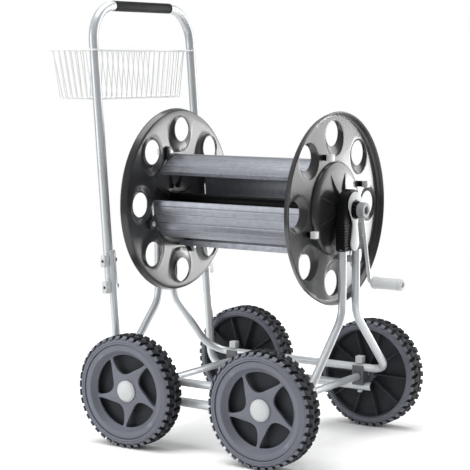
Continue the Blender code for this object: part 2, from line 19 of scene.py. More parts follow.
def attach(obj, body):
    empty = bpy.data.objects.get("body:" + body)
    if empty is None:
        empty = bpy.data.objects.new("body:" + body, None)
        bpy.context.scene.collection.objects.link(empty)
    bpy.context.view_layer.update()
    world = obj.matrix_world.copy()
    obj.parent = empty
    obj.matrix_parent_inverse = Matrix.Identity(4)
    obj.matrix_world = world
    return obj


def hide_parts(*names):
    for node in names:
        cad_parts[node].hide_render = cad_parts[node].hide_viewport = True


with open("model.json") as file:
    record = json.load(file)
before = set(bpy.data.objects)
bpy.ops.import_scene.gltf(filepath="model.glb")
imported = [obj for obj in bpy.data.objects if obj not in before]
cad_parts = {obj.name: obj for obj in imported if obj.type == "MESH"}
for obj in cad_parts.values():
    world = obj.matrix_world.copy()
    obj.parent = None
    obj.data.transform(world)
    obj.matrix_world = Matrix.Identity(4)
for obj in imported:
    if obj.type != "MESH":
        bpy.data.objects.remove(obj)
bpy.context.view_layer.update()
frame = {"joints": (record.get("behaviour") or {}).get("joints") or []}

# %% [markdown]
# Every place is worked out from the joints. The drum turns about one line, and that line
# crosses the middle of the wheelbase, so shapes are drawn around that middle and moved there
# at the end. A wheel's joint gives its centre.

# %% Read the places from the joints
joints = {joint["name"]: joint for joint in frame["joints"]}
MIDDLE_X = joints["reel_spin"]["pos_m"][0]
AXIS_Z = joints["reel_spin"]["pos_m"][2]
ENDS = {"handle_end": -1, "crank_end": 1}
SIDES = {"near": -1, "far": 1}
CORNERS = {f"{end}_{side}": (ENDS[end], SIDES[side]) for end in ENDS for side in SIDES}
wheel_centre = {}
for corner in CORNERS:
    place = Vector(joints["spin_" + corner]["pos_m"])
    wheel_centre[corner] = place - Vector((MIDDLE_X, 0, 0))
WHEEL_X = wheel_centre["crank_end_far"].x
WHEEL_Y = wheel_centre["crank_end_far"].y
WHEEL_R = wheel_centre["crank_end_far"].z
print("wheelbase", round(2 * WHEEL_X, 4), "track", round(2 * WHEEL_Y, 4), "axis height", AXIS_Z)

# %% [markdown]
# ## Camera, floor and light
#
# A long lens from about three metres keeps the wheels nearly round. The light is a bright
# studio: a pale floor, an even surround, one broad lamp low on the left, one overhead, and a
# wide soft sun. A wide panel behind on the right draws the gloss on the black flanges, and a
# small low panel lifts their lower halves. The panels are hidden from the camera itself.

# %% Place the camera
camera_data = bpy.data.cameras.new("studio_camera")
camera_data.lens = 118.9
camera = bpy.data.objects.new("studio_camera", camera_data)
camera.location = (1.88875, -2.9254, 0.8439)
camera.rotation_euler = (math.radians(90 - 6.3574), 0, math.radians(33.1602))
bpy.context.scene.collection.objects.link(camera)
bpy.context.scene.camera = camera
print("camera", [round(value, 3) for value in camera.location])

# %% Light the studio


def lamp(name, place, target, size, watts):
    """A square soft lamp at place, turned to face target."""
    data = bpy.data.lights.new(name, "AREA")
    data.size = size
    data.energy = watts
    made = bpy.data.objects.new(name, data)
    made.location = place
    made.rotation_euler = (Vector(target) - Vector(place)).to_track_quat("-Z", "Y").to_euler()
    made.visible_camera = False
    bpy.context.scene.collection.objects.link(made)
    return made


cart_middle = (0, 0, 0.45)
lamp("left_lamp", (-2.4, -3.2, 1.15), cart_middle, 2.4, 50)
lamp("top_lamp", (0.0, 0.4, 3.4), cart_middle, 2.6, 90)
lamp("back_panel", (1.75, 3.5, 1.50), (0.2, 0, 0.55), 2.6, 66)
lamp("low_panel", (0.95, 2.1, 0.24), (-0.2, 0, 0.35), 0.7, 14)
sun_data = bpy.data.lights.new("soft_sun", "SUN")
sun_data.energy = 2.1
sun_data.angle = math.radians(50)
sun = bpy.data.objects.new("soft_sun", sun_data)
sun.rotation_euler = Vector((0.55, 0.75, -1.5)).to_track_quat("-Z", "Y").to_euler()
sun.visible_glossy = False
bpy.context.scene.collection.objects.link(sun)

surround = bpy.data.worlds.new("studio_surround")
surround.use_nodes = True
tree = surround.node_tree
sky = tree.nodes["Background"]
sky.inputs["Color"].default_value = (1, 1, 1, 1)
where = tree.nodes.new("ShaderNodeTexCoord")
parts = tree.nodes.new("ShaderNodeSeparateXYZ")
fade = tree.nodes.new("ShaderNodeMapRange")
for name, value in (("From Min", -0.20), ("From Max", 0.05), ("To Min", 0.10), ("To Max", 0.36)):
    fade.inputs[name].default_value = value
tree.links.new(where.outputs["Generated"], parts.inputs[0])
tree.links.new(parts.outputs["Z"], fade.inputs["Value"])
tree.links.new(fade.outputs["Result"], sky.inputs["Strength"])
seen = tree.nodes.new("ShaderNodeBackground")
seen.inputs["Color"].default_value = (1, 1, 1, 1)
ray = tree.nodes.new("ShaderNodeLightPath")
choice = tree.nodes.new("ShaderNodeMixShader")
tree.links.new(ray.outputs["Is Camera Ray"], choice.inputs["Fac"])
tree.links.new(sky.outputs[0], choice.inputs[1])
tree.links.new(seen.outputs[0], choice.inputs[2])
tree.links.new(choice.outputs[0], tree.nodes["World Output"].inputs["Surface"])
bpy.context.scene.world = surround
bpy.context.scene.view_settings.view_transform = "Standard"

# %% [markdown]
# ## Finishes
#
# No surface here is one flat colour. Each finish starts as a Principled shader and gets a
# fine grain for the bump, a slow mottle for colour and roughness, and lighter or darker edges
# where hands and gravel rub it. The patterns read Object coordinates, so they stay on the
# piece when it turns, and they need no picture files.

# %% Small tools for node materials


def wire(tree, kind, links=None, **settings):
    """Adds a node. links maps an input's name or number to a value or to another node's output."""
    made = tree.nodes.new(kind)
    for name, value in settings.items():
        setattr(made, name, value)
    for key, value in (links or {}).items():
        if isinstance(value, bpy.types.NodeSocket):
            tree.links.new(value, made.inputs[key])
        else:
            made.inputs[key].default_value = value
    return made


def new_finish(name, roughness, metallic=0.0, coat=0.0):
    material = bpy.data.materials.new(name)
    material.use_nodes = True
    shader = material.node_tree.nodes["Principled BSDF"]
    shader.inputs["Roughness"].default_value = roughness
    shader.inputs["Metallic"].default_value = metallic
    shader.inputs["Coat Weight"].default_value = coat
    shader.inputs["Coat Roughness"].default_value = 0.08
    return material, material.node_tree, shader


def pattern(tree, scale, detail=2.0, stretch=(1, 1, 1)):
    """Noise fixed to the piece, scale in cycles for each metre, drawn out where stretch is below 1."""
    place = wire(tree, "ShaderNodeTexCoord")
    turned = wire(tree, "ShaderNodeMapping", {"Vector": place.outputs["Object"], "Scale": stretch})
    grain = wire(tree, "ShaderNodeTexNoise",
                 {"Vector": turned.outputs[0], "Scale": scale, "Detail": detail})
    return grain.outputs["Fac"]


def span(tree, value, low, high, start=0.3, end=0.7):
    """Stretches start..end of a value to low..high."""
    made = wire(tree, "ShaderNodeMapRange",
                {"Value": value, "From Min": start, "From Max": end, "To Min": low, "To Max": high})
    return made.outputs["Result"]


def blend_colours(tree, share, first, second):
    made = wire(tree, "ShaderNodeMix", {0: share, 6: first, 7: second}, data_type="RGBA")
    return made.outputs[2]


def shade(colour, factor):
    return (*[min(1.0, part * factor) for part in colour], 1.0)


def edges(tree, start, end):
    """1 on convex edges, 0 on flats, broken up by noise as rubbing would leave it."""
    shape = wire(tree, "ShaderNodeNewGeometry")
    worn = span(tree, shape.outputs["Pointiness"], 0.0, 1.0, start, end)
    patchy = span(tree, pattern(tree, 90, 3), 0.25, 1.0)
    return wire(tree, "ShaderNodeMath", {0: worn, 1: patchy}, operation="MULTIPLY").outputs[0]


def moulding(name, colour, roughness, grain, depth, mottle=0.08, rubbed=1.6, coat=0.0, metallic=0.0,
             uneven=0.12):
    """A moulded or painted surface: grain cycles for each metre, depth in metres, rubbed edges."""
    material, tree, shader = new_finish(name, roughness, metallic, coat)
    cloud = pattern(tree, 14, 3)
    base = blend_colours(tree, span(tree, cloud, 0, 1), shade(colour, 1 - mottle), shade(colour, 1 + mottle))
    worn = edges(tree, 0.53, 0.62)
    tree.links.new(blend_colours(tree, worn, base, shade(colour, rubbed)), shader.inputs["Base Color"])
    rough = span(tree, pattern(tree, 40, 4), roughness * (1 - uneven), roughness * (1 + uneven))
    tree.links.new(rough, shader.inputs["Roughness"])
    height = pattern(tree, grain, 3)
    bump = wire(tree, "ShaderNodeBump", {"Height": height, "Distance": depth, "Strength": 0.6})
    tree.links.new(bump.outputs[0], shader.inputs["Normal"])
    print("finish", name)
    return material


# %% The finishes of this cart
finish = {
    "frame_paint": moulding("frame_paint", (0.56, 0.585, 0.60), 0.34, 900, 0.00002, 0.03, 1.12, 0.15, 0.5,
                            0.10),
    "zinc_plate": moulding("zinc_plate", (0.62, 0.63, 0.64), 0.33, 1500, 0.00004, 0.06, 1.1, 0.0, 0.6),
    "clamp_plastic": moulding("clamp_plastic", (0.085, 0.090, 0.100), 0.48, 1800, 0.00012, 0.10, 1.9),
    "pale_plastic": moulding("pale_plastic", (0.49, 0.505, 0.51), 0.38, 1600, 0.00008, 0.05, 1.15),
    "cap_plastic": moulding("cap_plastic", (0.74, 0.75, 0.755), 0.40, 1600, 0.00008, 0.05, 1.1),
    "knob_plastic": moulding("knob_plastic", (0.27, 0.285, 0.30), 0.42, 1600, 0.00008, 0.05, 1.3),
    # Near-black for the wheel's pan and webs: painted shade for the dark hollow behind the star; the moulding
    # itself is the wheel's grey.
    "deep_plastic": moulding("deep_plastic", (0.030, 0.032, 0.037), 0.50, 1500, 0.00012, 0.10, 2.0),
    "wheel_plastic": moulding("wheel_plastic", (0.118, 0.126, 0.152), 0.46, 1500, 0.00014, 0.07, 1.5),
    # Near-black for the tyre's tread faces: painted shade where the tread turns from the light; the tyre is
    # the same grey as its side walls.
    "tread_rubber": moulding("tread_rubber", (0.016, 0.017, 0.019), 0.70, 1100, 0.00030, 0.22, 2.2),
    "flange_plastic": moulding("flange_plastic", (0.020, 0.0205, 0.022), 0.30, 2200, 0.000008, 0.06, 1.45,
                               0.30, uneven=0.05),
    "black_plastic": moulding("black_plastic", (0.004, 0.0042, 0.005), 0.46, 1700, 0.00010, 0.15, 2.6),
    "basket_coat": moulding("basket_coat", (0.74, 0.75, 0.75), 0.40, 700, 0.00015, 0.04, 1.05),
    "rough_floor": moulding("rough_floor", (0.93, 0.93, 0.93), 0.8, 60, 0.0002, 0.01, 1.0),
}


def brushed_slat():
    """Coated aluminium: die lines run the whole length of the slat, along X."""
    material, tree, shader = new_finish("slat_coat", 0.36, 0.72, 0.12)
    lines = pattern(tree, 420, 4, (0.012, 1, 1))
    colour = (0.235, 0.245, 0.275)
    base = blend_colours(tree, span(tree, lines, 0, 1), shade(colour, 0.86), shade(colour, 1.12))
    worn = edges(tree, 0.53, 0.64)
    tree.links.new(blend_colours(tree, worn, base, shade(colour, 1.7)), shader.inputs["Base Color"])
    tree.links.new(span(tree, lines, 0.30, 0.46), shader.inputs["Roughness"])
    bump = wire(tree, "ShaderNodeBump", {"Height": lines, "Distance": 0.00006, "Strength": 0.5})
    tree.links.new(bump.outputs[0], shader.inputs["Normal"])
    return material


finish["slat_coat"] = brushed_slat()
for dull in ("black_plastic", "tread_rubber", "deep_plastic"):
    finish[dull].node_tree.nodes["Principled BSDF"].inputs["Specular IOR Level"].default_value = 0.15
print(len(finish), "finishes")

# %% Lay the floor
floor_mesh = bpy.data.meshes.new("studio_floor")
reach = 2.2
rim = [(reach * math.cos(step * math.pi / 32), reach * math.sin(step * math.pi / 32), 0)
       for step in range(64)]
floor_mesh.from_pydata(rim, [], [tuple(range(64))])
floor_mesh.materials.append(finish["rough_floor"])
floor = bpy.data.objects.new("studio_floor", floor_mesh)
bpy.context.scene.collection.objects.link(floor)
print("floor", 2 * reach, "m across")

# %% [markdown]
# ## Tools for shapes
#
# Four ways of making a mesh cover nearly the whole cart. A **sweep** carries a circle along a
# bent centre line. A **lathe** turns a profile about an axis. A **slab** gives an outline,
# with holes if it needs them, a thickness and rounded edges. And a **node tree** repeats a
# small shape round a ring or along a row. Each ends in one function that turns the mesh into
# a finished piece: doubles merged, faces outwards, edges softened, its place in its mesh.

# %% Paths and sweeps


def bent_path(corners, radii, steps=10):
    """The centre line through corners, each inner corner turned at its own radius."""
    points = [Vector(corners[0])]
    for before, corner, after, radius in zip(corners, corners[1:], corners[2:], radii):
        corner = Vector(corner)
        way_in = (corner - Vector(before)).normalized()
        way_out = (Vector(after) - corner).normalized()
        turn = way_in.angle(way_out)
        reach = radius * math.tan(turn / 2)
        centre = corner + (way_out - way_in).normalized() * (radius / math.cos(turn / 2))
        arm = corner - way_in * reach - centre
        spin = way_in.cross(way_out).normalized()
        for step in range(steps + 1):
            points.append(centre + Matrix.Rotation(turn * step / steps, 3, spin) @ arm)
    points.append(Vector(corners[-1]))
    return points


def cross_frames(points):
    """Two cross directions at each point of a path, carried along without twisting."""
    pairs = []
    side = None
    for index, point in enumerate(points):
        step_in = (point - points[index - 1]).normalized() if index else Vector()
        step_out = (points[index + 1] - point).normalized() if index < len(points) - 1 else Vector()
        tangent = (step_in + step_out).normalized()
        side = side or tangent.orthogonal()
        side = (side - tangent * side.dot(tangent)).normalized()
        pairs.append((side.copy(), tangent.cross(side)))
    return pairs


def sweep(points, radius, wall=0.0, sides=28, radii=None):
    """A round bar along points, or a tube with a wall; radii may give each point its own radius."""
    shape = bmesh.new()
    skins = []
    frames = cross_frames(points)
    for less in ([0.0, wall] if wall else [0.0]):
        rings = []
        for index, (point, (across, up)) in enumerate(zip(points, frames)):
            size = (radii[index] if radii else radius) - less
            ring = []
            for side in range(sides):
                angle = 2 * math.pi * side / sides
                ring.append(shape.verts.new(point + (across * math.cos(angle) + up * math.sin(angle)) * size))
            rings.append(ring)
        for ring, following in zip(rings, rings[1:]):
            stitch(shape, ring, following)
        skins.append(rings)
    for end in (0, -1):
        if wall:
            stitch(shape, skins[0][end], skins[1][end])
        else:
            shape.faces.new(skins[0][end])
    return shape


def stitch(shape, ring, following, closed=True):
    """Quads between two rings of points."""
    count = len(ring)
    for index in range(count if closed else count - 1):
        other = (index + 1) % count
        corners = (ring[index], ring[other], following[other], following[index])
        corners = tuple(dict.fromkeys(corners))
        if len(corners) > 2:
            shape.faces.new(corners)


# %% Lathe, slab and block


def lathe(profile, axis, centre, steps=64):
    """Turns (along, radius) points about axis; the profile closes on itself or meets the axis."""
    shape = bmesh.new()
    axis = Vector(axis).normalized()
    upright = abs(axis.z) > 0.9
    across = (axis.orthogonal() if upright else axis.cross(Vector((0, 0, 1)))).normalized()
    up = axis.cross(across)
    rings = []
    for along, radius in profile:
        at = Vector(centre) + axis * along
        if radius == 0:
            rings.append([shape.verts.new(at)] * steps)
            continue
        rings.append([shape.verts.new(at + (across * math.cos(2 * math.pi * step / steps)
                                            + up * math.sin(2 * math.pi * step / steps)) * radius)
                      for step in range(steps)])
    pairs = list(zip(rings, rings[1:]))
    if profile[0][1] != 0:
        pairs.append((rings[-1], rings[0]))
    for ring, following in pairs:
        stitch(shape, ring, following)
    return shape


def rounded(profile, radius, steps=4):
    """A profile with its corners rounded; a corner may bring its own radius as a third value."""
    points = []
    count = len(profile)
    for index, corner in enumerate(profile):
        here = Vector(corner[:2])
        size = corner[2] if len(corner) > 2 else radius
        before = Vector(profile[index - 1][:2]) - here
        after = Vector(profile[(index + 1) % count][:2]) - here
        turn = math.pi - before.angle(after, math.pi)
        reach = min(size * math.tan(turn / 2), before.length * 0.49, after.length * 0.49)
        if reach < 1e-6 or turn < 0.02:
            points.append(tuple(here))
            continue
        start = here + before.normalized() * reach
        end = here + after.normalized() * reach
        for step in range(steps + 1):
            share = step / steps
            points.append(tuple(start * (1 - share) ** 2 + here * 2 * share * (1 - share) + end * share ** 2))
    return points


def slab(outlines, thickness, rounding, place, steps=2):
    """Flat outlines, the outer one first and holes after it, made thick with rounded edges.

    place turns the drawing, which lies in X and Y about half its thickness, into the cart.
    """
    drawing = bpy.data.curves.new("drawing", "CURVE")
    drawing.dimensions = "2D"
    drawing.fill_mode = "BOTH"
    drawing.extrude = thickness / 2 - rounding
    drawing.bevel_depth = rounding
    drawing.bevel_resolution = steps
    drawing.offset = -rounding
    for outline in outlines:
        spline = drawing.splines.new("POLY")
        spline.points.add(len(outline) - 1)
        for point, (x, y) in zip(spline.points, outline):
            point.co = (x, y, 0, 1)
        spline.use_cyclic_u = True
    holder = bpy.data.objects.new("drawing", drawing)
    bpy.context.scene.collection.objects.link(holder)
    mesh = bpy.data.meshes.new_from_object(holder.evaluated_get(bpy.context.evaluated_depsgraph_get()))
    bpy.data.objects.remove(holder)
    shape = bmesh.new()
    shape.from_mesh(mesh)
    bpy.data.meshes.remove(mesh)
    shape.transform(place)
    return shape


def block(low, high):
    shape = bmesh.new()
    size = Vector(high) - Vector(low)
    middle = (Vector(high) + Vector(low)) / 2
    bmesh.ops.create_cube(shape, size=1.0, matrix=Matrix.Translation(middle) @ Matrix.Diagonal((*size, 1.0)))
    return shape


def add_shape(whole, other):
    """Puts another closed shape into the same mesh."""
    mesh = bpy.data.meshes.new("passing")
    other.to_mesh(mesh)
    other.free()
    whole.from_mesh(mesh)
    bpy.data.meshes.remove(mesh)
    return whole


def settle(holder):
    """The holder's mesh with its modifiers worked in."""
    evaluated = holder.evaluated_get(bpy.context.evaluated_depsgraph_get())
    mesh = bpy.data.meshes.new_from_object(evaluated)
    holder.modifiers.clear()
    holder.data = mesh
    return mesh


def outward(shape):
    bmesh.ops.remove_doubles(shape, verts=shape.verts, dist=2e-6)
    bmesh.ops.recalc_face_normals(shape, faces=shape.faces)


def piece(name, shape, look, body, slot, *nodes, bevel=0.0, sharp=32, cutters=()):
    """Names a shape, softens its edges, gives it its finish and hangs it on its body."""
    outward(shape)
    mesh = bpy.data.meshes.new(name)
    shape.to_mesh(mesh)
    shape.free()
    holder = bpy.data.objects.new(name, mesh)
    bpy.context.scene.collection.objects.link(holder)
    for cutter in cutters:
        cut = holder.modifiers.new("cut", "BOOLEAN")
        cut.object = cutter
        cut.operation = "DIFFERENCE"
    if bevel:
        soften = holder.modifiers.new("soften", "BEVEL")
        soften.width = bevel
        soften.segments = 2
        soften.limit_method = "ANGLE"
        soften.angle_limit = math.radians(sharp)
    if cutters or bevel:
        mesh = settle(holder)
    for cutter in cutters:
        bpy.data.objects.remove(cutter)
    mesh.transform(Matrix.Translation((MIDDLE_X, 0, 0)))
    mesh.name = name
    if not mesh.materials:
        for one in (look if isinstance(look, (list, tuple)) else [look]):
            mesh.materials.append(finish[one])
    mesh.shade_smooth()
    mesh.set_sharp_from_angle(angle=math.radians(sharp))
    if nodes:
        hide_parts(*nodes)
    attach(holder, body)
    return holder


def cutter_of(shape):
    """A hidden helper solid, for piece() to cut with."""
    outward(shape)
    mesh = bpy.data.meshes.new("cutter")
    shape.to_mesh(mesh)
    shape.free()
    holder = bpy.data.objects.new("cutter", mesh)
    holder.hide_render = True
    bpy.context.scene.collection.objects.link(holder)
    return holder


print("shape tools ready")

# %% [markdown]
# ## Node trees that repeat
#
# Tyre lugs, knurls, spoke ribs and wires repeat by a rule, so Geometry Nodes make them. Two
# trees are enough. The **ring** puts copies of one small shape round its Z axis and then
# moves the ring to its place. The **row** puts copies along a straight step, and may lean
# each copy a little more than the last. Both end by realizing the copies and setting their
# material, so the result is a plain mesh that exports whole.

# %% Build the two trees


def new_tree(name, inputs):
    """An empty tree with a geometry input called Shape, more named inputs, and one output."""
    tree = bpy.data.node_groups.new(name, "GeometryNodeTree")
    tree.interface.new_socket("Shape", in_out="INPUT", socket_type="NodeSocketGeometry")
    for label, kind in inputs:
        tree.interface.new_socket(label, in_out="INPUT", socket_type="NodeSocket" + kind)
    tree.interface.new_socket("Copies", in_out="OUTPUT", socket_type="NodeSocketGeometry")
    return tree, wire(tree, "NodeGroupInput").outputs, wire(tree, "NodeGroupOutput")


def ring_tree():
    tree, given, result = new_tree("ring_of_copies", [
        ("Count", "Int"), ("First Angle", "Float"), ("Turn", "Vector"), ("Centre", "Vector"),
        ("Finish", "Material")])
    number = wire(tree, "GeometryNodeInputIndex")
    full = wire(tree, "ShaderNodeMath", {0: 2 * math.pi, 1: given["Count"]}, operation="DIVIDE")
    angle = wire(tree, "ShaderNodeMath",
                 {0: number.outputs[0], 1: full.outputs[0], 2: given["First Angle"]},
                 operation="MULTIPLY_ADD")
    spin = wire(tree, "ShaderNodeCombineXYZ", {"Z": angle.outputs[0]})
    spots = wire(tree, "GeometryNodePoints", {"Count": given["Count"]})
    copies = wire(tree, "GeometryNodeInstanceOnPoints",
                  {"Points": spots.outputs[0], "Instance": given["Shape"], "Rotation": spin.outputs[0]})
    real = wire(tree, "GeometryNodeRealizeInstances", {"Geometry": copies.outputs[0]})
    moved = wire(tree, "GeometryNodeTransform",
                 {"Geometry": real.outputs[0], "Translation": given["Centre"], "Rotation": given["Turn"]})
    dressed = wire(tree, "GeometryNodeSetMaterial",
                   {"Geometry": moved.outputs[0], "Material": given["Finish"]})
    tree.links.new(dressed.outputs[0], result.inputs[0])
    return tree


def row_tree():
    tree, given, result = new_tree("row_of_copies", [
        ("Count", "Int"), ("First", "Vector"), ("Step", "Vector"), ("First Lean", "Vector"),
        ("Lean Step", "Vector"), ("Finish", "Material")])
    number = wire(tree, "GeometryNodeInputIndex")
    lean = wire(tree, "ShaderNodeVectorMath",
                {0: given["Lean Step"], 1: number.outputs[0], 2: given["First Lean"]},
                operation="MULTIPLY_ADD")
    line = wire(tree, "GeometryNodeMeshLine",
                {"Count": given["Count"], "Start Location": given["First"], "Offset": given["Step"]})
    copies = wire(tree, "GeometryNodeInstanceOnPoints",
                  {"Points": line.outputs[0], "Instance": given["Shape"], "Rotation": lean.outputs[0]})
    real = wire(tree, "GeometryNodeRealizeInstances", {"Geometry": copies.outputs[0]})
    dressed = wire(tree, "GeometryNodeSetMaterial",
                   {"Geometry": real.outputs[0], "Material": given["Finish"]})
    tree.links.new(dressed.outputs[0], result.inputs[0])
    return tree


RING = ring_tree()
ROW = row_tree()
print("trees:", RING.name, "and", ROW.name)

# %% Run a tree and take the result


def grown(shape, tree, **values):
    """The mesh that a tree makes from a shape; an underscore in a name stands for a space."""
    outward(shape)
    mesh = bpy.data.meshes.new("seed")
    shape.to_mesh(mesh)
    shape.free()
    holder = bpy.data.objects.new("seed", mesh)
    modifier = holder.modifiers.new("grow", "NODES")
    modifier.node_group = tree
    wanted = {label.replace("_", " "): value for label, value in values.items()}
    for socket in tree.interface.items_tree:
        if socket.in_out == "INPUT" and socket.name in wanted:
            modifier[socket.identifier] = wanted.pop(socket.name)
    assert not wanted, f"{tree.name} has no input called {sorted(wanted)}"
    bpy.context.scene.collection.objects.link(holder)
    settle(holder)
    result = bmesh.new()
    result.from_mesh(holder.data)
    bpy.data.objects.remove(holder)
    return result


def ring_of(shape, count, axis, centre, look, first=0.0):
    """Copies round an axis. The shape is drawn about Z, at its radius along X."""
    turn = Vector((0, 0, 1)).rotation_difference(Vector(axis)).to_euler()
    return grown(shape, RING, Count=count, First_Angle=first, Turn=tuple(turn), Centre=tuple(centre),
                 Finish=finish[look])


def row_of(shape, count, first, step, look, lean=(0, 0, 0), lean_step=(0, 0, 0)):
    return grown(shape, ROW, Count=count, First=tuple(first), Step=tuple(step), First_Lean=lean,
                 Lean_Step=lean_step, Finish=finish[look])


print("tree runner ready")

# %% [markdown]
# ## Side frames, axles and handle tubes
#
# Each side of the chassis is one bent steel tube: it comes down from the drum's bearing,
# splays out, runs along as a rail, and goes back up. A curve object with a bevel would do, but
# a sweep written out gives each bend its own radius and the tube a real wall.

# %% The two side frames
TUBE_WALL = 0.0015
FRAME_R = 0.009
RAIL_Y = 0.182
RAIL_Z = 0.1455
UPRIGHT_X = 0.244
UPRIGHT_Y = 0.030
SPLAY_Z = RAIL_Z + (RAIL_Y - UPRIGHT_Y)
for side_name, side in SIDES.items():
    corners = [(UPRIGHT_X, side * UPRIGHT_Y, 0.495), (UPRIGHT_X, side * UPRIGHT_Y, SPLAY_Z),
               (UPRIGHT_X, side * RAIL_Y, RAIL_Z), (-UPRIGHT_X, side * RAIL_Y, RAIL_Z),
               (-UPRIGHT_X, side * UPRIGHT_Y, SPLAY_Z), (-UPRIGHT_X, side * UPRIGHT_Y, 0.495)]
    path = bent_path(corners, (0.06, 0.034, 0.055, 0.06), 12)
    piece(f"side_frame_tube_{side_name}", sweep(path, FRAME_R, TUBE_WALL), "frame_paint", "frame",
          "silver_tube", f"side_frame_{side_name}")
print("side frames", len(path), "rings each")

# %% The two axles
AXLE_R = 0.008
for end_name, end in ENDS.items():
    half = WHEEL_Y + 0.0105
    profile = rounded([(-half, AXLE_R), (half, AXLE_R), (half, AXLE_R - TUBE_WALL),
                       (-half, AXLE_R - TUBE_WALL)], 0.0006)
    piece(f"axle_tube_{end_name}", lathe(profile, (0, 1, 0), (end * WHEEL_X, 0, WHEEL_R), 32),
          "frame_paint", "frame", "silver_tube", f"axle_{end_name}")
print("axle half length", round(half, 4))

# %% [markdown]
# The handle is two parts on the real cart. The lower tubes run under the axles as runners and
# turn up at the back. The upper tube is one wide U. Where they lap, the upper tube is cut to
# cradle the lower one, and two bolts on each side hold them. The lap is cut with a Boolean,
# because that is also how the tube is really cut.

# %% The lower handle tubes
LOWER_R = 0.010
LOWER_Y = 0.185
UPPER_Y = 0.1875
HANDLE_R = 0.0108
RUNNER_Z = 0.102
LEAN = 0.0745
LAP_BOTTOM, LAP_TOP = 0.330, 0.426
HANDLE_TOP = 0.970
HANDLE_BEND = 0.08


def lower_x(z):
    """The lower leg's centre line leans towards the handle as it rises."""
    return -0.2393 - LEAN * (z - RUNNER_Z)


def upper_x(z):
    return lower_x(z) - 0.006


for side_name, side in SIDES.items():
    y = side * LOWER_Y
    top = LAP_TOP - 0.004
    corners = [(0.203, y, RUNNER_Z), (lower_x(RUNNER_Z), y, RUNNER_Z), (lower_x(top), y, top)]
    leg = sweep(bent_path(corners, (0.05,), 14), LOWER_R, TUBE_WALL)
    piece(f"lower_handle_tube_{side_name}", leg, "frame_paint", "frame", "silver_tube",
          f"lower_handle_{side_name}")
    plug = rounded([(-0.012, 0.0), (-0.012, 0.0082), (0.0, 0.0084), (0.0004, 0.0099), (0.0022, 0.0100, 0.001),
                    (0.0030, 0.0090), (0.0034, 0.0)], 0.0006)
    way = Vector((lower_x(top) - lower_x(top - 0.1), 0, 0.1)).normalized()
    piece(f"lower_handle_plug_{side_name}", lathe(plug, way, (lower_x(top), y, top), 32),
          "pale_plastic", "frame", "light_grey_plastic")
    foot = rounded([(-0.012, 0.0), (-0.012, 0.0082), (0.0, 0.0084), (0.0004, 0.0102), (0.0035, 0.0098, 0.002),
                    (0.0042, 0.0)], 0.0008)
    piece(f"runner_plug_{side_name}", lathe(foot, (1, 0, 0), (0.203, y, RUNNER_Z), 32),
          "black_plastic", "frame", "black_plastic")
print("lower handle top at x", round(lower_x(top), 4))

# %% The upper handle, cut to lap the lower tubes
corners = [(upper_x(z), y, z) for y, z in ((-UPPER_Y, LAP_BOTTOM), (-UPPER_Y, HANDLE_TOP),
                                           (UPPER_Y, HANDLE_TOP), (UPPER_Y, LAP_BOTTOM))]
seats = []
for side in SIDES.values():
    ends = [Vector((lower_x(z), side * LOWER_Y, z)) for z in (LAP_BOTTOM - 0.02, LAP_TOP)]
    seats.append(cutter_of(sweep(ends, LOWER_R + 0.0003)))
bar = sweep(bent_path(corners, (HANDLE_BEND, HANDLE_BEND), 18), HANDLE_R, TUBE_WALL)
piece("upper_handle_tube", bar, "frame_paint", "frame", "silver_tube", "handle_bar", cutters=seats)
print("upper handle reaches z", round(HANDLE_TOP + HANDLE_R, 4))

# %% [markdown]
# The grip is a soft black sleeve. Its profile is turned: two end beads, a shallow groove inside
# each, and a slightly fuller middle where the maker would print a mark. The mark is left out.

# %% The sleeve on the handle
half = UPPER_Y - HANDLE_BEND
GRIP_R = 0.0119
sleeve = [(-half, HANDLE_R + 0.0001), (-half, GRIP_R), (-half + 0.005, GRIP_R),
          (-half + 0.006, GRIP_R - 0.0005), (-half + 0.008, GRIP_R - 0.0005), (-half + 0.009, GRIP_R)]
sleeve += [(half - 0.009, GRIP_R), (half - 0.008, GRIP_R - 0.0005), (half - 0.006, GRIP_R - 0.0005),
           (half - 0.005, GRIP_R), (half, GRIP_R), (half, HANDLE_R + 0.0001)]
piece("handle_sleeve", lathe(rounded(sleeve, 0.0004), (0, 1, 0), (upper_x(HANDLE_TOP), 0, HANDLE_TOP), 40),
      "black_plastic", "frame", "black_plastic", "handle_grip")
print("sleeve", round(2 * half, 3), "long")

# %% Lap blocks and bolts
LAP_BOLT_Z = {"low": 0.343, "high": 0.402}
BOLT_R = 0.003
block_in = UPPER_Y + HANDLE_R + 0.0003
nut_face = LOWER_Y - LOWER_R - 0.0003
for side_name, side in SIDES.items():
    for level, z in LAP_BOLT_Z.items():
        x = (lower_x(z) + upper_x(z)) / 2
        low, high = sorted((side * (block_in - 0.002), side * (block_in + 0.015)))
        drill = cutter_of(sweep([Vector((x, side * 0.15, z)), Vector((x, side * 0.23, z))], BOLT_R + 0.0004))
        saddle = cutter_of(sweep([Vector((upper_x(z - 0.03), side * UPPER_Y, z - 0.03)),
                                  Vector((upper_x(z + 0.03), side * UPPER_Y, z + 0.03))], HANDLE_R + 0.0002))
        spacer = block((x - 0.0055, low, z - 0.013), (x + 0.0055, high, z + 0.013))
        piece(f"lap_block_{side_name}_{level}", spacer,
              "pale_plastic", "frame", "light_grey_plastic", f"lap_spacer_{side_name}_{level}",
              bevel=0.0012, cutters=[drill, saddle])
        bolt = rounded([(nut_face - 0.010, 0.0), (nut_face - 0.010, 0.0030), (nut_face - 0.0085, 0.0048),
                        (nut_face - 0.006, 0.0062), (nut_face, 0.0066), (nut_face, BOLT_R),
                        (block_in + 0.0125, BOLT_R), (block_in + 0.0135, BOLT_R - 0.001),
                        (block_in + 0.0135, 0.0)],
                       0.0005)
        piece(f"lap_screw_{side_name}_{level}", lathe(bolt, (0, side, 0), (x, 0, z), 24),
              "black_plastic", "frame", "black_plastic", f"lap_bolt_{side_name}_{level}")
print("lap blocks from y", round(block_in, 4))

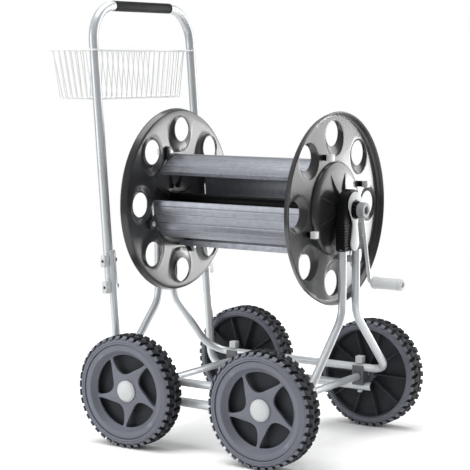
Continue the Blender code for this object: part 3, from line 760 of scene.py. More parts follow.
# %% [markdown]
# ## Axle clamps
#
# Each axle sits in a moulded block that also cradles the rail above it and the runner below.
# A long screw goes down through all of them, under a square cap. The grooves are cut into a
# plain block, and its edges are softened afterwards, as a mould's would be.

# %% Four clamp blocks, each with its cap and nut
CLAMP_Y = (RAIL_Y + LOWER_Y) / 2
for corner, (end, side) in CORNERS.items():
    x = end * WHEEL_X
    y = side * CLAMP_Y
    along_x = [Vector((-0.03, 0, 0)), Vector((0.03, 0, 0))]
    along_y = [Vector((0, -0.03, 0)), Vector((0, 0.03, 0))]
    grooves = []
    for place, way, radius in (((x, side * RAIL_Y, RAIL_Z), along_x, FRAME_R),
                               ((x, side * LOWER_Y, RUNNER_Z), along_x, LOWER_R),
                               ((x, y, WHEEL_R), along_y, AXLE_R)):
        grooves.append(cutter_of(sweep([Vector(place) + step for step in way], radius + 0.0004)))
    body = block((x - 0.014, y - 0.0135, 0.105), (x + 0.014, y + 0.0135, 0.150))
    piece(f"clamp_{corner}", body, "clamp_plastic", "frame", "clamp_grey", f"clamp_block_{corner}",
          bevel=0.0011, cutters=grooves)
    cap_low = RAIL_Z + FRAME_R + 0.0003
    cap = block((x - 0.00825, y - 0.00825, cap_low), (x + 0.00825, y + 0.00825, cap_low + 0.0162))
    add_shape(cap, lathe(rounded([(0.0160, 0.0), (0.0160, 0.0062), (0.0165, 0.0056), (0.0168, 0.0)], 0.0004),
                         (0, 0, 1), (x, y, cap_low), 32))
    nut_top = RUNNER_Z - LOWER_R - 0.0003
    stem = [Vector((x, y, nut_top - 0.004)), Vector((x, y, cap_low + 0.002))]
    add_shape(cap, sweep(stem, BOLT_R, sides=16))
    add_shape(cap, sweep([Vector((x, y, nut_top - 0.005)), Vector((x, y, nut_top))], 0.0058, sides=6))
    piece(f"clamp_screw_{corner}", cap, "pale_plastic", "frame", "light_grey_plastic",
          f"clamp_bolt_{corner}",
          bevel=0.0008)
print("clamp caps from z", round(cap_low, 4))

# %% [markdown]
# ## Wheels
#
# Each wheel is three parts. The grey moulding is a deep barrel with a five-armed star set back
# inside it. The tyre has a grooved side wall and about forty slanted lugs with dark slots
# between them; its tread faces are painted near-black, as painted shade on the grey tyre. A pale
# cap covers the axle. The barrel is turned. The star is a flat drawing
# with five swept windows. The lugs are one small wedge that the ring tree repeats.

# %% The tyre's carcass and its lugs
TYRE_HALF = 0.0275
LUGS = 40
LUG_TOP = WHEEL_R - 0.0002
TREAD_R = LUG_TOP - 0.0062


def carcass_profile():
    """Along the axle and out from it: bead, side wall with two fine grooves, shoulder, tread floor."""
    out = [(TYRE_HALF - 0.0018, 0.1053), (TYRE_HALF - 0.0008, 0.1060), (TYRE_HALF - 0.0006, 0.1092),
           (TYRE_HALF - 0.0018, 0.1098), (TYRE_HALF - 0.0006, 0.1104), (TYRE_HALF - 0.0012, 0.1140),
           (TYRE_HALF - 0.0046, TREAD_R - 0.0004), (TYRE_HALF - 0.0070, TREAD_R)]
    return out + [(-along, radius) for along, radius in reversed(out)]


def lug():
    """One slanted tread block at radius TREAD_R on +X, its foot sunk into the carcass."""
    shape = bmesh.new()
    floor_r = TREAD_R - 0.0012
    half = TYRE_HALF - 0.0004
    share = 2 * math.pi / LUGS
    rows = []
    for along, slant, top in ((-half, 0.30, LUG_TOP - 0.0062), (-half + 0.0048, 0.26, LUG_TOP - 0.0006),
                              (-half + 0.0075, 0.22, LUG_TOP), (-0.0042, 0.0, LUG_TOP),
                              (-0.0016, -0.02, LUG_TOP - 0.0008)):
        ring = []
        for radius, width in ((floor_r, 0.33), (top, 0.29), (top, -0.29), (floor_r, -0.33)):
            angle = share * (slant + width)
            ring.append(shape.verts.new((radius * math.cos(angle), radius * math.sin(angle), along)))
        rows.append(ring)
    for ring, following in zip(rows, rows[1:]):
        stitch(shape, ring, following)
    shape.faces.new(rows[0])
    shape.faces.new(rows[-1])
    return shape


def mirrored(shape):
    """The same shape on the other side of the wheel's middle plane."""
    bmesh.ops.transform(shape, matrix=Matrix.Diagonal((1, 1, -1, 1)), verts=shape.verts)
    return shape


def shade_tread_faces(holder, side, first_look):
    """The side walls keep the wheel's grey; the tread between them is painted near-black as painted shade."""
    mesh = holder.data
    mesh.materials.clear()
    mesh.materials.append(finish[first_look])
    mesh.materials.append(finish["tread_rubber"])
    centre = wheel_centre[side] + Vector((MIDDLE_X, 0, 0))
    # Faces far out that do not face along the axle take the second finish: painted shade on the tread.
    for face in mesh.polygons:
        offset = face.center - centre
        radius = math.hypot(offset.x, offset.z)
        facing = abs(face.normal.y)
        face.material_index = 1 if radius > 0.1146 and facing < 0.62 else 0


for corner, (end, side) in CORNERS.items():
    centre = wheel_centre[corner]
    out = Vector((0, side, 0))
    tyre = lathe(carcass_profile(), out, centre, 120)
    share = 2 * math.pi / LUGS
    add_shape(tyre, ring_of(lug(), LUGS, out, centre, "tread_rubber"))
    add_shape(tyre, ring_of(mirrored(lug()), LUGS, out, centre, "tread_rubber", first=share * 0.5))
    holder = piece(f"lugged_tyre_{corner}", tyre, "wheel_plastic", f"wheel_{corner}", "tyre",
                   f"tyre_{corner}", bevel=0.0005)
    shade_tread_faces(holder, corner, "wheel_plastic")
print("tyre faces", len(holder.data.polygons))

# %% [markdown]
# The star's windows are the wheel's face. Each one is bounded by the barrel's circle outside,
# by a long concave sweep on one side and by a short round end on the other, so the arms look
# like they turn. One window is drawn as an outline of arcs and repeated five times. Behind the
# star the wheel is a closed pan, so nothing shows through, and ten thin webs stiffen its back.
# Pan and webs are painted near-black, as painted shade for the dark hollow behind the star.

# %% The wheel moulding
BARREL_R = 0.1028
STAR_R = 0.0822
SPOKES = 5
STAR_TURN = math.radians(-19.5)
PAN_OUT, PAN_IN = -0.0060, -0.0100


def window_outline(index):
    """A swept window: a round end by one arm, a long tail along the next."""
    turn = 2 * math.pi * index / SPOKES + STAR_TURN
    spots = [(0.0812, 64.5), (0.0818, 60), (0.0820, 54), (0.0820, 46), (0.0820, 38), (0.0820, 30),
             (0.0820, 22), (0.0820, 15), (0.0820, 9), (0.0820, 4), (0.0815, 0.5), (0.0770, 0.3),
             (0.0715, 1.8), (0.0640, 5.0), (0.0560, 10), (0.0480, 17.5), (0.0415, 26), (0.0378, 36),
             (0.0368, 46), (0.0385, 54), (0.0425, 60.5),
             (0.0485, 64.5), (0.0560, 66.5), (0.0640, 67.2), (0.0720, 67.2), (0.0775, 66.3)]
    outline = []
    for radius, degrees in spots:
        angle = turn + math.radians(degrees)
        outline.append((radius * math.cos(angle), radius * math.sin(angle)))
    return outline


def circle(radius, steps=96, centre=(0, 0)):
    return [(centre[0] + radius * math.cos(2 * math.pi * step / steps),
             centre[1] + radius * math.sin(2 * math.pi * step / steps)) for step in range(steps)]


def wheel_rib():
    """A thin web on the inner side, from the hub out to the barrel."""
    return block((0.0200, -0.0008, -0.0232), (BARREL_R - 0.0004, 0.0008, PAN_IN + 0.0005))


STAR_FACE = 0.012
for corner, (end, side) in CORNERS.items():
    centre = wheel_centre[corner]
    out = Vector((0, side, 0))
    barrel = [(-0.0235, 0.1046), (0.0225, 0.1046), (0.0240, 0.1040), (0.0245, 0.1010), (0.0245, 0.0925),
              (0.0232, 0.0905), (0.0215, 0.0893), (0.0130, STAR_R + 0.0008), (0.0118, STAR_R - 0.0012),
              (0.0075, STAR_R - 0.0012), (0.0055, STAR_R + 0.002), (0.0020, 0.0900), (PAN_OUT, 0.0955),
              (PAN_IN, 0.1000), (-0.0235, BARREL_R)]
    wheel = lathe(rounded(barrel, 0.0009, 3), out, centre, 96)
    turn = Vector((0, 0, 1)).rotation_difference(out).to_matrix().to_4x4()
    place = Matrix.Translation(centre + out * (STAR_FACE - 0.0036)) @ turn
    outlines = [circle(STAR_R + 0.0045)] + [window_outline(index) for index in range(SPOKES)]
    star = slab(outlines, 0.0072, 0.0009, place)
    add_shape(wheel, star)
    hub = rounded([(-0.0262, AXLE_R + 0.0004), (-0.0262, 0.0200), (0.0050, 0.0215),
                   (0.0050, AXLE_R + 0.0004)], 0.001)
    add_shape(wheel, lathe(hub, out, centre, 48))
    piece(f"spoked_wheel_{corner}", wheel, "wheel_plastic", f"wheel_{corner}", "wheel_grey",
          f"wheel_{corner}", sharp=38)
    # The pan and its webs are painted near-black: painted shade for the hollow behind the star.
    pan = [(PAN_OUT, 0.0190), (PAN_OUT, 0.0957), (PAN_OUT - 0.0010, 0.0972), (-0.0232, BARREL_R - 0.0002),
           (-0.0236, BARREL_R - 0.0006), (-0.0232, BARREL_R - 0.0011), (PAN_IN - 0.0008, 0.0975),
           (PAN_IN, 0.0962), (PAN_IN, 0.0190)]
    pan = lathe(rounded(pan, 0.0004), out, centre, 96)
    add_shape(pan, ring_of(wheel_rib(), 2 * SPOKES, out, centre, "deep_plastic", first=math.radians(1)))
    piece(f"wheel_pan_{corner}", pan, "deep_plastic", f"wheel_{corner}", "wheel_grey")
    cap = rounded([(0.0121, 0.0), (0.0121, 0.0236), (0.0150, 0.0236, 0.0012), (0.0182, 0.0190, 0.004),
                   (0.0203, 0.0090, 0.008), (0.0206, 0.0)], 0.0006, 5)
    piece(f"axle_cap_{corner}", lathe(cap, out, centre, 48), "pale_plastic", f"wheel_{corner}",
          "light_grey_plastic", f"hub_cap_{corner}")
print("wheels:", len(CORNERS))

# %% [markdown]
# ## The drum's flanges
#
# A flange is a shallow glossy pan with eight funnel-shaped holes. Cutting funnels out of a
# gently domed disc with a Boolean would leave long thin faces, and gloss shows every one of
# them. So the disc is built as eight equal slices. Inside a slice, rays run from the hole's
# centre to the slice's edge, and each ray is one strip of quads: domed disc, rounded lip,
# funnel wall, throat, and back again behind. The slices share their edge points, so they
# merge into one closed surface.

# %% Points of one flange slice
FLANGE_R = 0.2105
DISC_X = 0.2045
LIP_X = 0.2175
SKIN = 0.003
HOLES = 8
HUB_R = 0.104
EDGE_R = 0.2000
MOUTH_AT, MOUTH_R = 0.1525, 0.0385
THROAT_AT, THROAT_R = 0.1625, 0.0275
FUNNEL_DEPTH = 0.006


def dome(radius):
    """How far the disc's outer face stands out at a radius: a little more towards the hub."""
    share = max(0.0, (EDGE_R - radius) / (EDGE_R - HUB_R))
    return DISC_X + 0.0026 * share ** 1.5


def slice_edge():
    """(radius, angle) points round a slice, from the middle of its outer arc and back."""
    half = math.pi / HOLES
    arc_steps, side_steps, hub_steps = 14, 12, 8
    edge = [(EDGE_R, half * (2 * step / arc_steps - 1)) for step in range(arc_steps)]
    edge += [(EDGE_R + (HUB_R - EDGE_R) * step / side_steps, half) for step in range(side_steps)]
    edge += [(HUB_R, half * (1 - 2 * step / hub_steps)) for step in range(hub_steps)]
    edge += [(HUB_R + (EDGE_R - HUB_R) * step / side_steps, -half) for step in range(side_steps)]
    return edge


def slice_strips(end, middle):
    """Rings of points from the slice's outer edge, through the funnel, to the edge behind."""
    edge = [(radius * math.cos(angle), radius * math.sin(angle)) for radius, angle in slice_edge()]
    ways = [(Vector(point) - Vector((MOUTH_AT, 0))).normalized() for point in edge]

    def ring(at, size, x):
        return [(at + way.x * size, way.y * size, x) for way in ways]

    def between(share, size, lift):
        """Points part of the way from the slice's edge to a circle round the hole."""
        made = []
        for (u, v), way in zip(edge, ways):
            u = u + (MOUTH_AT + way.x * size - u) * share
            v = v + (way.y * size - v) * share
            made.append((u, v, dome(math.hypot(u, v)) + lift))
        return made

    lip = 0.0016
    rings = [between(share, MOUTH_R + lip, 0) for share in (0, 0.2, 0.4, 0.6, 0.8, 1.0)]
    for along in (0.25, 0.5, 0.75, 1.0):
        turn = along * math.radians(60)
        size = MOUTH_R + lip * (1 - math.sin(turn))
        rings.append([(u, v, dome(math.hypot(u, v)) - lip * (1 - math.cos(turn)))
                      for u, v, _ in ring(MOUTH_AT, size, 0)])
    for share in (0.35, 0.65, 0.92):
        at = MOUTH_AT + (THROAT_AT - MOUTH_AT) * share
        size = MOUTH_R + (THROAT_R - MOUTH_R) * share
        rings.append(ring(at, size, DISC_X + 0.0006 - 0.0006 * share - FUNNEL_DEPTH * share))
    for drop, grow in ((0.0, 0.0), (0.0012, 0.0001), (0.0020, 0.0010), (0.0020, 0.0020), (0.0010, 0.0026)):
        rings.append(ring(THROAT_AT, THROAT_R + grow, DISC_X - FUNNEL_DEPTH - drop))
    for share in (0.65, 0.35, 0.0):
        at = MOUTH_AT + (THROAT_AT - MOUTH_AT) * share
        size = MOUTH_R + (THROAT_R - MOUTH_R) * share + 0.0026
        rings.append(ring(at, size, DISC_X - SKIN - (FUNNEL_DEPTH - SKIN) * share))
    rings += [between(share, MOUTH_R + 0.0026, -SKIN) for share in (0.8, 0.6, 0.4, 0.2, 0)]
    turned = []
    for one in rings:
        turned.append([(end * x, u * math.cos(middle) - v * math.sin(middle),
                        AXIS_Z + u * math.sin(middle) + v * math.cos(middle)) for u, v, x in one])
    return turned


print("points round a slice:", len(slice_edge()))

# %% [markdown]
# The lip and the hub are turned, with as many steps as the slices have points along their
# arcs, so the turned parts meet the slices point for point. The hub rises from a small step,
# which draws the dark circle on the real flange, and carries eight gussets up to the bearing.

# %% Build both flanges


def turned_band(profile, end, steps):
    """An open band between profile points, its seam points at the slices' edges."""
    shape = bmesh.new()
    rings = []
    first = math.pi / 2 - math.pi / HOLES
    for x, radius in profile:
        ring = []
        for step in range(steps):
            angle = first + 2 * math.pi * step / steps
            place = (end * x, radius * math.cos(angle), AXIS_Z + radius * math.sin(angle))
            ring.append(shape.verts.new(place))
        rings.append(ring)
    for ring, following in zip(rings, rings[1:]):
        stitch(shape, ring, following)
    return shape


def gusset():
    """A thin three-sided web that stands on the hub cone, drawn about Z with the shaft along Z."""
    shape = bmesh.new()
    outline = [(0.0290, 0.0070), (0.0290, 0.0222), (0.0380, 0.0216), (0.0560, 0.0166), (0.0860, 0.0101),
               (0.0860, 0.0070)]
    sides = []
    for half in (-0.0012, 0.0012):
        sides.append([shape.verts.new((radius, half, height)) for radius, height in outline])
        shape.faces.new(sides[-1])
    stitch(shape, *sides)
    return shape


for end_name, end in ENDS.items():
    flange = bmesh.new()
    for index in range(HOLES):
        rings = slice_strips(end, math.pi / 2 + 2 * math.pi * index / HOLES)
        rings = [[flange.verts.new(point) for point in ring] for ring in rings]
        for ring, following in zip(rings, rings[1:]):
            stitch(flange, ring, following)
    lip = [(dome(EDGE_R), EDGE_R), (DISC_X + 0.0006, 0.2020), (DISC_X + 0.0025, 0.2036),
           (DISC_X + 0.0060, 0.2048), (LIP_X - 0.0025, 0.2064), (LIP_X - 0.0006, 0.2076), (LIP_X, 0.2090),
           (LIP_X - 0.0006, 0.2101), (LIP_X - 0.0020, FLANGE_R), (LIP_X - 0.0035, 0.2100),
           (LIP_X - 0.0075, 0.2084), (DISC_X + 0.0010, 0.2068), (DISC_X - 0.0014, 0.2054),
           (DISC_X - 0.0028, 0.2030), (dome(EDGE_R) - SKIN, EDGE_R)]
    add_shape(flange, turned_band(lip, end, 14 * HOLES))
    hub = [(dome(HUB_R), HUB_R), (dome(HUB_R) - 0.0008, 0.1034), (dome(HUB_R) - 0.0008, 0.1022),
           (dome(HUB_R) + 0.0030, 0.1016), (0.2122, 0.1003), (0.2136, 0.0975), (0.2150, 0.0850),
           (0.2164, 0.0640), (0.2188, 0.0440), (0.2222, 0.0340), (0.2256, 0.0300), (0.2264, 0.0270),
           (0.2264, 0.0180), (0.2252, 0.0165), (0.2225, 0.0165), (0.2225, 0.0260), (0.2160, 0.0420),
           (0.2118, 0.0850), (0.2090, 0.0960), (0.2041, 0.1030), (dome(HUB_R) - SKIN, HUB_R)]
    add_shape(flange, turned_band(hub, end, 8 * HOLES))
    outward(flange)
    add_shape(flange, ring_of(gusset(), HOLES, (end, 0, 0), (end * DISC_X, 0, AXIS_Z), "flange_plastic",
                              first=math.radians(22.5)))
    piece(f"moulded_flange_{end_name}", flange, "flange_plastic", "reel", "flange_charcoal",
          f"reel_flange_{end_name}", sharp=40)
print("flange rings", len(rings))

# %% [markdown]
# ## Drum slats
#
# Four arched aluminium slats join the flanges. They are extrusions, so the right way to make
# one is to draw its cross-section, grooves and all, and push it along X. The ears at its ends,
# which the bolts go through, are small plates drawn the same way and laid on the slat.

# %% Draw the slat's section
SLATS = 4
SLAT_R = 0.1080
SLAT_SKIN = 0.0030
HALF_ANGLE = math.radians(25.6)
SLAT_END = DISC_X - SKIN - 0.0004
SLAT_BOLT_AT = 0.1220
GROOVES = (-19.0, -10.0, 1.5, 12.0, 18.0)


def slat_angle(index):
    return math.radians(22.5) + 2 * math.pi * index / SLATS


def slat_section():
    """(radius, angle) points: the grooved outer arc, a lip, the plain inner arc, a lip."""
    points = []
    steps = 112
    for step in range(steps + 1):
        angle = HALF_ANGLE * (2 * step / steps - 1)
        degrees = math.degrees(angle)
        cut = max(math.exp(-((degrees - groove) / 0.42) ** 2) for groove in GROOVES)
        band = 0.0007 if -10.0 < degrees < 1.5 else 0.0
        fall = 0.0026 * (angle / HALF_ANGLE) ** 2
        points.append((SLAT_R - 0.0011 * cut - band - fall, angle))
    lip = math.radians(1.7)
    corner = [(SLAT_R - 0.0036, HALF_ANGLE + 0.005), (SLAT_R - 0.0150, HALF_ANGLE + 0.005),
              (SLAT_R - 0.0150, HALF_ANGLE + 0.005 - lip), (SLAT_R - 0.0066, HALF_ANGLE + 0.005 - lip)]
    inner = []
    for step in range(25):
        share = 1 - 2 * step / 24
        inner.append((SLAT_R - SLAT_SKIN - 0.0026 * share ** 2, HALF_ANGLE * 0.92 * share))
    other = [(radius, -angle) for radius, angle in reversed(corner)]
    return points + corner + inner + other


def along_x(section, middle, low, high):
    """A closed section of (radius, angle) points pushed along X."""
    shape = bmesh.new()
    ends = []
    for x in (low, high):
        ends.append([shape.verts.new((x, radius * math.cos(middle + angle),
                                      AXIS_Z + radius * math.sin(middle + angle)))
                     for radius, angle in section])
        shape.faces.new(ends[-1])
    stitch(shape, *ends)
    return shape


def ear_section():
    """A tab with rounded shoulders, which rises from the slat to round the bolt."""
    tip = []
    for step in range(13):
        turn = math.radians(180 * step / 12)
        along = 0.0105 * math.cos(turn)
        tip.append((SLAT_BOLT_AT + 0.002 + 0.0105 * math.sin(turn), along / SLAT_BOLT_AT))
    foot = SLAT_R - 0.0020
    return [(foot, 0.0170 / SLAT_R), *tip, (foot, -0.0170 / SLAT_R)]


for index in range(SLATS):
    middle = slat_angle(index)
    slat = along_x(slat_section(), middle, -SLAT_END, SLAT_END)
    holder = piece(f"grooved_slat_{index + 1}", slat, "slat_coat", "reel", "slat_metal",
                   f"drum_slat_{index + 1}", sharp=28)
    ears = bmesh.new()
    for end in (-1, 1):
        low, high = sorted((end * (SLAT_END - 0.0040), end * (SLAT_END - 0.0002)))
        add_shape(ears, along_x(ear_section(), middle, low, high))
    piece(f"slat_ears_{index + 1}", ears, "flange_plastic", "reel", "flange_charcoal", bevel=0.0007)
print("slats", SLATS, "length", round(2 * SLAT_END, 4))

# %% [markdown]
# Each slat end has a bolt: a bright domed screw head inside the drum, and outside the flange a
# dark spacer under a square pale cap. One set is drawn about the drum's axis, and the ring
# tree puts four of them at each end.

# %% Slat bolts, one ring at each end


def at_bolt(shape):
    """Moves a shape drawn about Z out to the slat bolts' radius."""
    bmesh.ops.translate(shape, verts=shape.verts, vec=(SLAT_BOLT_AT, 0, 0))
    return shape


for end_name, end in ENDS.items():
    face = dome(SLAT_BOLT_AT) + 0.0002
    ear_in = SLAT_END - 0.0042
    head = rounded([(ear_in - 0.0036, 0.0), (ear_in - 0.0034, 0.0032), (ear_in - 0.0022, 0.0056),
                    (ear_in, 0.0060), (ear_in, 0.0028), (ear_in + 0.004, 0.0028),
                    (ear_in + 0.004, 0.0)], 0.0005)
    spacer = rounded([(face, 0.0), (face, 0.0066), (face + 0.0095, 0.0066), (face + 0.0095, 0.0)], 0.0004)
    for label, profile, look, slot in (("slat_screws", head, "zinc_plate", "zinc"),
                                       ("slat_spacers", spacer, "black_plastic", "black_plastic")):
        shape = lathe(profile, (0, 0, 1), (0, 0, 0), 24)
        ring = ring_of(at_bolt(shape), SLATS, (end, 0, 0), (0, 0, AXIS_Z), look, first=end * slat_angle(0))
        piece(f"{label}_{end_name}", ring, look, "reel", slot)
    caps = bmesh.new()
    low, high = sorted((end * (face + 0.0095), end * (face + 0.0225)))
    for index in range(SLATS):
        y = SLAT_BOLT_AT * math.cos(slat_angle(index))
        z = AXIS_Z + SLAT_BOLT_AT * math.sin(slat_angle(index))
        add_shape(caps, block((low, y - 0.0075, z - 0.0075), (high, y + 0.0075, z + 0.0075)))
    piece(f"slat_caps_{end_name}", caps, "cap_plastic", "reel", "light_grey_plastic",
          *[f"slat_bolt_{index + 1}_{end_name}" for index in range(SLATS)], bevel=0.0011)
print("slat caps outside x", round(face, 4))

# %% [markdown]
# ## Bearings
#
# At each end a black moulded housing grips both uprights and carries the drum's shaft. It has
# a round top, fins down its lower half, and a pale keyhole-shaped cover on its outer face. The
# housing and the cover are slabs of simple outlines. The fins are one small bar that the row
# tree repeats downwards, so their number and spacing stay easy to change.

# %% Housings and their fins
HOUSING_IN, HOUSING_OUT = 0.232, 0.2555
HOUSING_HALF = 0.0413
HOUSING_LOW = 0.440
ARCH_Z = 0.536
SHAFT_R = 0.016
FINS = 10
FIN_STEP = 0.0060


def arc_points(centre, radius, start, end, steps):
    """Points of a circle from one angle in degrees to another."""
    angles = [math.radians(start + (end - start) * step / steps) for step in range(steps + 1)]
    return [(centre[0] + radius * math.cos(angle), centre[1] + radius * math.sin(angle)) for angle in angles]


def facing_out(end, x):
    """Turns a drawing of (y, z) points so that its thickness lies along X, its middle at x."""
    turn = Matrix(((0, 0, end, 0), (1, 0, 0, 0), (0, 1, 0, 0), (0, 0, 0, 1)))
    return Matrix.Translation((x, 0, 0)) @ turn


def upright_holes(end, low, high, radius):
    return [cutter_of(sweep([Vector((end * UPRIGHT_X, side * UPRIGHT_Y, low)),
                             Vector((end * UPRIGHT_X, side * UPRIGHT_Y, high))], radius, sides=32))
            for side in SIDES.values()]


for end_name, end in ENDS.items():
    core = 0.0400
    outline = [(core, HOUSING_LOW + 0.003), (core, 0.506)]
    outline += arc_points((0, ARCH_Z), 0.036, 0, 180, 28)
    outline += [(-core, 0.506), (-core, HOUSING_LOW + 0.003)]
    thick = HOUSING_OUT - HOUSING_IN - 0.0020
    middle = end * (HOUSING_IN + HOUSING_OUT - 0.0020) / 2
    shape = slab([rounded(outline, 0.004, 5)], thick, 0.0014, facing_out(end, middle))
    shaft_hole = cutter_of(sweep([Vector((end * 0.225, 0, AXIS_Z)), Vector((end * 0.262, 0, AXIS_Z))],
                                 SHAFT_R + 0.0003, sides=48))
    holes = [*upright_holes(end, 0.43, 0.4955, FRAME_R + 0.0004), shaft_hole]
    piece(f"housing_{end_name}", shape, "black_plastic", "frame", "black_plastic",
          f"bearing_housing_{end_name}", cutters=holes)
    low, high = sorted((end * (HOUSING_IN + 0.0006), end * HOUSING_OUT))
    fin = block((low, -HOUSING_HALF, -0.0013), (high, HOUSING_HALF, 0.0013))
    bmesh.ops.bevel(fin, geom=fin.edges[:], offset=0.0007, segments=2, affect="EDGES")
    fins = row_of(fin, FINS, (0, 0, HOUSING_LOW + 0.0016), (0, 0, FIN_STEP), "black_plastic")
    piece(f"housing_fins_{end_name}", fins, "black_plastic", "frame", "black_plastic",
          cutters=upright_holes(end, 0.43, 0.505, FRAME_R + 0.0004))
print("fins", FINS, "from z", HOUSING_LOW, "to", round(HOUSING_LOW + FIN_STEP * FINS, 3))

# %% Keyhole covers
COVER_THICK = 0.0030
for end_name, end in ENDS.items():
    waist = [(0.0240, 0.5280), (0.0185, 0.5150), (0.0118, 0.5045), (0.0106, 0.4950)]
    outline = arc_points((0, ARCH_Z + 0.002), 0.0290, -12, 192, 36)
    outline += [(-half, z) for half, z in waist]
    outline += arc_points((0, HOUSING_LOW + 0.0165), 0.0178, 176, 364, 22)
    outline += list(reversed(waist))
    eye = circle(0.0205, 48, (0, AXIS_Z))
    middle = end * (HOUSING_OUT + 0.0003 + COVER_THICK / 2)
    cover = slab([rounded(outline, 0.0015), eye], COVER_THICK, 0.0008, facing_out(end, middle))
    piece(f"keyhole_cover_{end_name}", cover, "pale_plastic", "frame", "light_grey_plastic",
          f"bearing_cover_{end_name}")
    ring = rounded([(0.0, 0.0166), (0.0, 0.0200), (0.0024, 0.0200), (0.0024, 0.0166)], 0.0005)
    piece(f"bearing_ring_{end_name}", lathe(ring, (end, 0, 0), (end * (HOUSING_OUT - 0.0006), 0, AXIS_Z), 48),
          "black_plastic", "frame", "black_plastic")
print("covers end at x", round(HOUSING_OUT + 0.0003 + COVER_THICK, 4))

# %% [markdown]
# ## Shaft, collar and crank knob
#
# The shaft is a plain turned bar until the crank end, where a toothed black collar takes the
# grey knob that the crank rod is fixed in. Teeth and knurls are the same job: one small bar,
# and the ring tree.

# %% The shaft and its toothed collar
COLLAR_TEETH = 14
KNOB_LOW, KNOB_HIGH = 0.2683, 0.2850
shaft = [(-0.2620, 0.0115), (-0.2620, SHAFT_R), (0.2590, SHAFT_R), (0.2592, 0.0125), (0.2678, 0.0125),
         (0.2680, 0.0068), (0.2770, 0.0068), (0.2770, 0.0040), (0.2500, 0.0040), (0.2500, 0.0115)]
shape = lathe(rounded(shaft, 0.0005), (1, 0, 0), (0, 0, AXIS_Z), 48)
piece("drum_shaft", shape, "black_plastic", "reel", "black_plastic", "reel_shaft")
tooth = block((0.0108, -0.0022, 0.2594), (0.0182, 0.0022, 0.2676))
bmesh.ops.bevel(tooth, geom=tooth.edges[:], offset=0.0005, segments=2, affect="EDGES")
collar = ring_of(tooth, COLLAR_TEETH, (1, 0, 0), (0, 0, AXIS_Z), "black_plastic")
piece("shaft_collar", collar, "black_plastic", "reel", "black_plastic")
print("collar teeth", COLLAR_TEETH)

# %% The knurled knob
KNURLS = 36
knob = [(KNOB_LOW, 0.0072), (KNOB_LOW, 0.0160), (KNOB_LOW + 0.0008, 0.0163), (KNOB_HIGH - 0.0030, 0.0163),
        (KNOB_HIGH - 0.0020, 0.0168), (KNOB_HIGH - 0.0004, 0.0160), (KNOB_HIGH, 0.0148), (KNOB_HIGH, 0.0092),
        (KNOB_HIGH - 0.0012, 0.0084), (KNOB_HIGH - 0.0060, 0.0080), (KNOB_HIGH - 0.0060, 0.0072)]
shape = lathe(rounded(knob, 0.0006), (1, 0, 0), (0, 0, AXIS_Z), 64)
knurl = block((0.0158, -0.00055, KNOB_LOW + 0.0010), (0.0170, 0.00055, KNOB_HIGH - 0.0034))
bmesh.ops.bevel(knurl, geom=knurl.edges[:], offset=0.00035, segments=1, affect="EDGES")
add_shape(shape, ring_of(knurl, KNURLS, (1, 0, 0), (0, 0, AXIS_Z), "knob_plastic"))
plug = lathe(rounded([(KNOB_HIGH - 0.0062, 0.0), (KNOB_HIGH - 0.0062, 0.0079), (KNOB_HIGH - 0.0050, 0.0079),
                      (KNOB_HIGH - 0.0045, 0.0070), (KNOB_HIGH - 0.0045, 0.0)], 0.0003),
             (1, 0, 0), (0, 0, AXIS_Z), 32)
piece("knurled_knob", shape, "knob_plastic", "reel", "light_grey_plastic", "crank_knob")
piece("knob_plug", plug, "clamp_plastic", "reel", "clamp_grey")
print("knurls", KNURLS)

# %% [markdown]
# ## The crank
#
# The crank is one bent plated rod. Its grip spins on the rod's end, so it is a body of its own
# and must be turned exactly about the rod. The grip's ends have small moulded notches.

# %% Crank rod and grip
ELBOW = Vector((0.2942, 0, 0.3735))
GRIP_WAY = Vector(joints["crank_grip_spin"]["axis"]).normalized()
ARM_R = 0.004
arm_top = Vector((0.2742, 0, AXIS_Z - 0.0098))
rod = bent_path([arm_top, ELBOW, ELBOW + GRIP_WAY * 0.0765], (0.0075,), 10)
piece("crank_rod", sweep(rod, ARM_R, sides=28), "zinc_plate", "reel", "zinc", "crank_arm", bevel=0.0005)
grip = [(0.0063, 0.0046), (0.0063, 0.0096), (0.0085, 0.0122, 0.002), (0.0120, 0.0132, 0.002),
        (0.0160, 0.0130, 0.002), (0.0180, 0.0123, 0.002), (0.0420, 0.0119, 0.01), (0.0650, 0.0122, 0.01),
        (0.0700, 0.0127), (0.0706, 0.0116), (0.0738, 0.0116), (0.0744, 0.0127), (0.0780, 0.0122, 0.0015),
        (0.0793, 0.0105), (0.0793, 0.0066), (0.0780, 0.0060), (0.0770, 0.0046)]
shape = lathe(rounded(grip, 0.0006), GRIP_WAY, ELBOW, 56)
notch = block((0.0112, -0.0011, 0.0704), (0.0125, 0.0011, 0.0746))
add_shape(shape, ring_of(notch, 16, GRIP_WAY, ELBOW, "pale_plastic"))
piece("spinning_grip", shape, "pale_plastic", "crank_grip", "light_grey_plastic", "crank_grip")
print("crank throw", round(AXIS_Z - ELBOW.z, 4))

# %% [markdown]
# ## Hose inlet
#
# The supply hose screws on at the handle end. The elbow is swept like a tube, with a turned
# nut at the shaft and a threaded spigot that points down. A true thread would be a helix; at
# this size a row of turned rings looks the same and stays light.

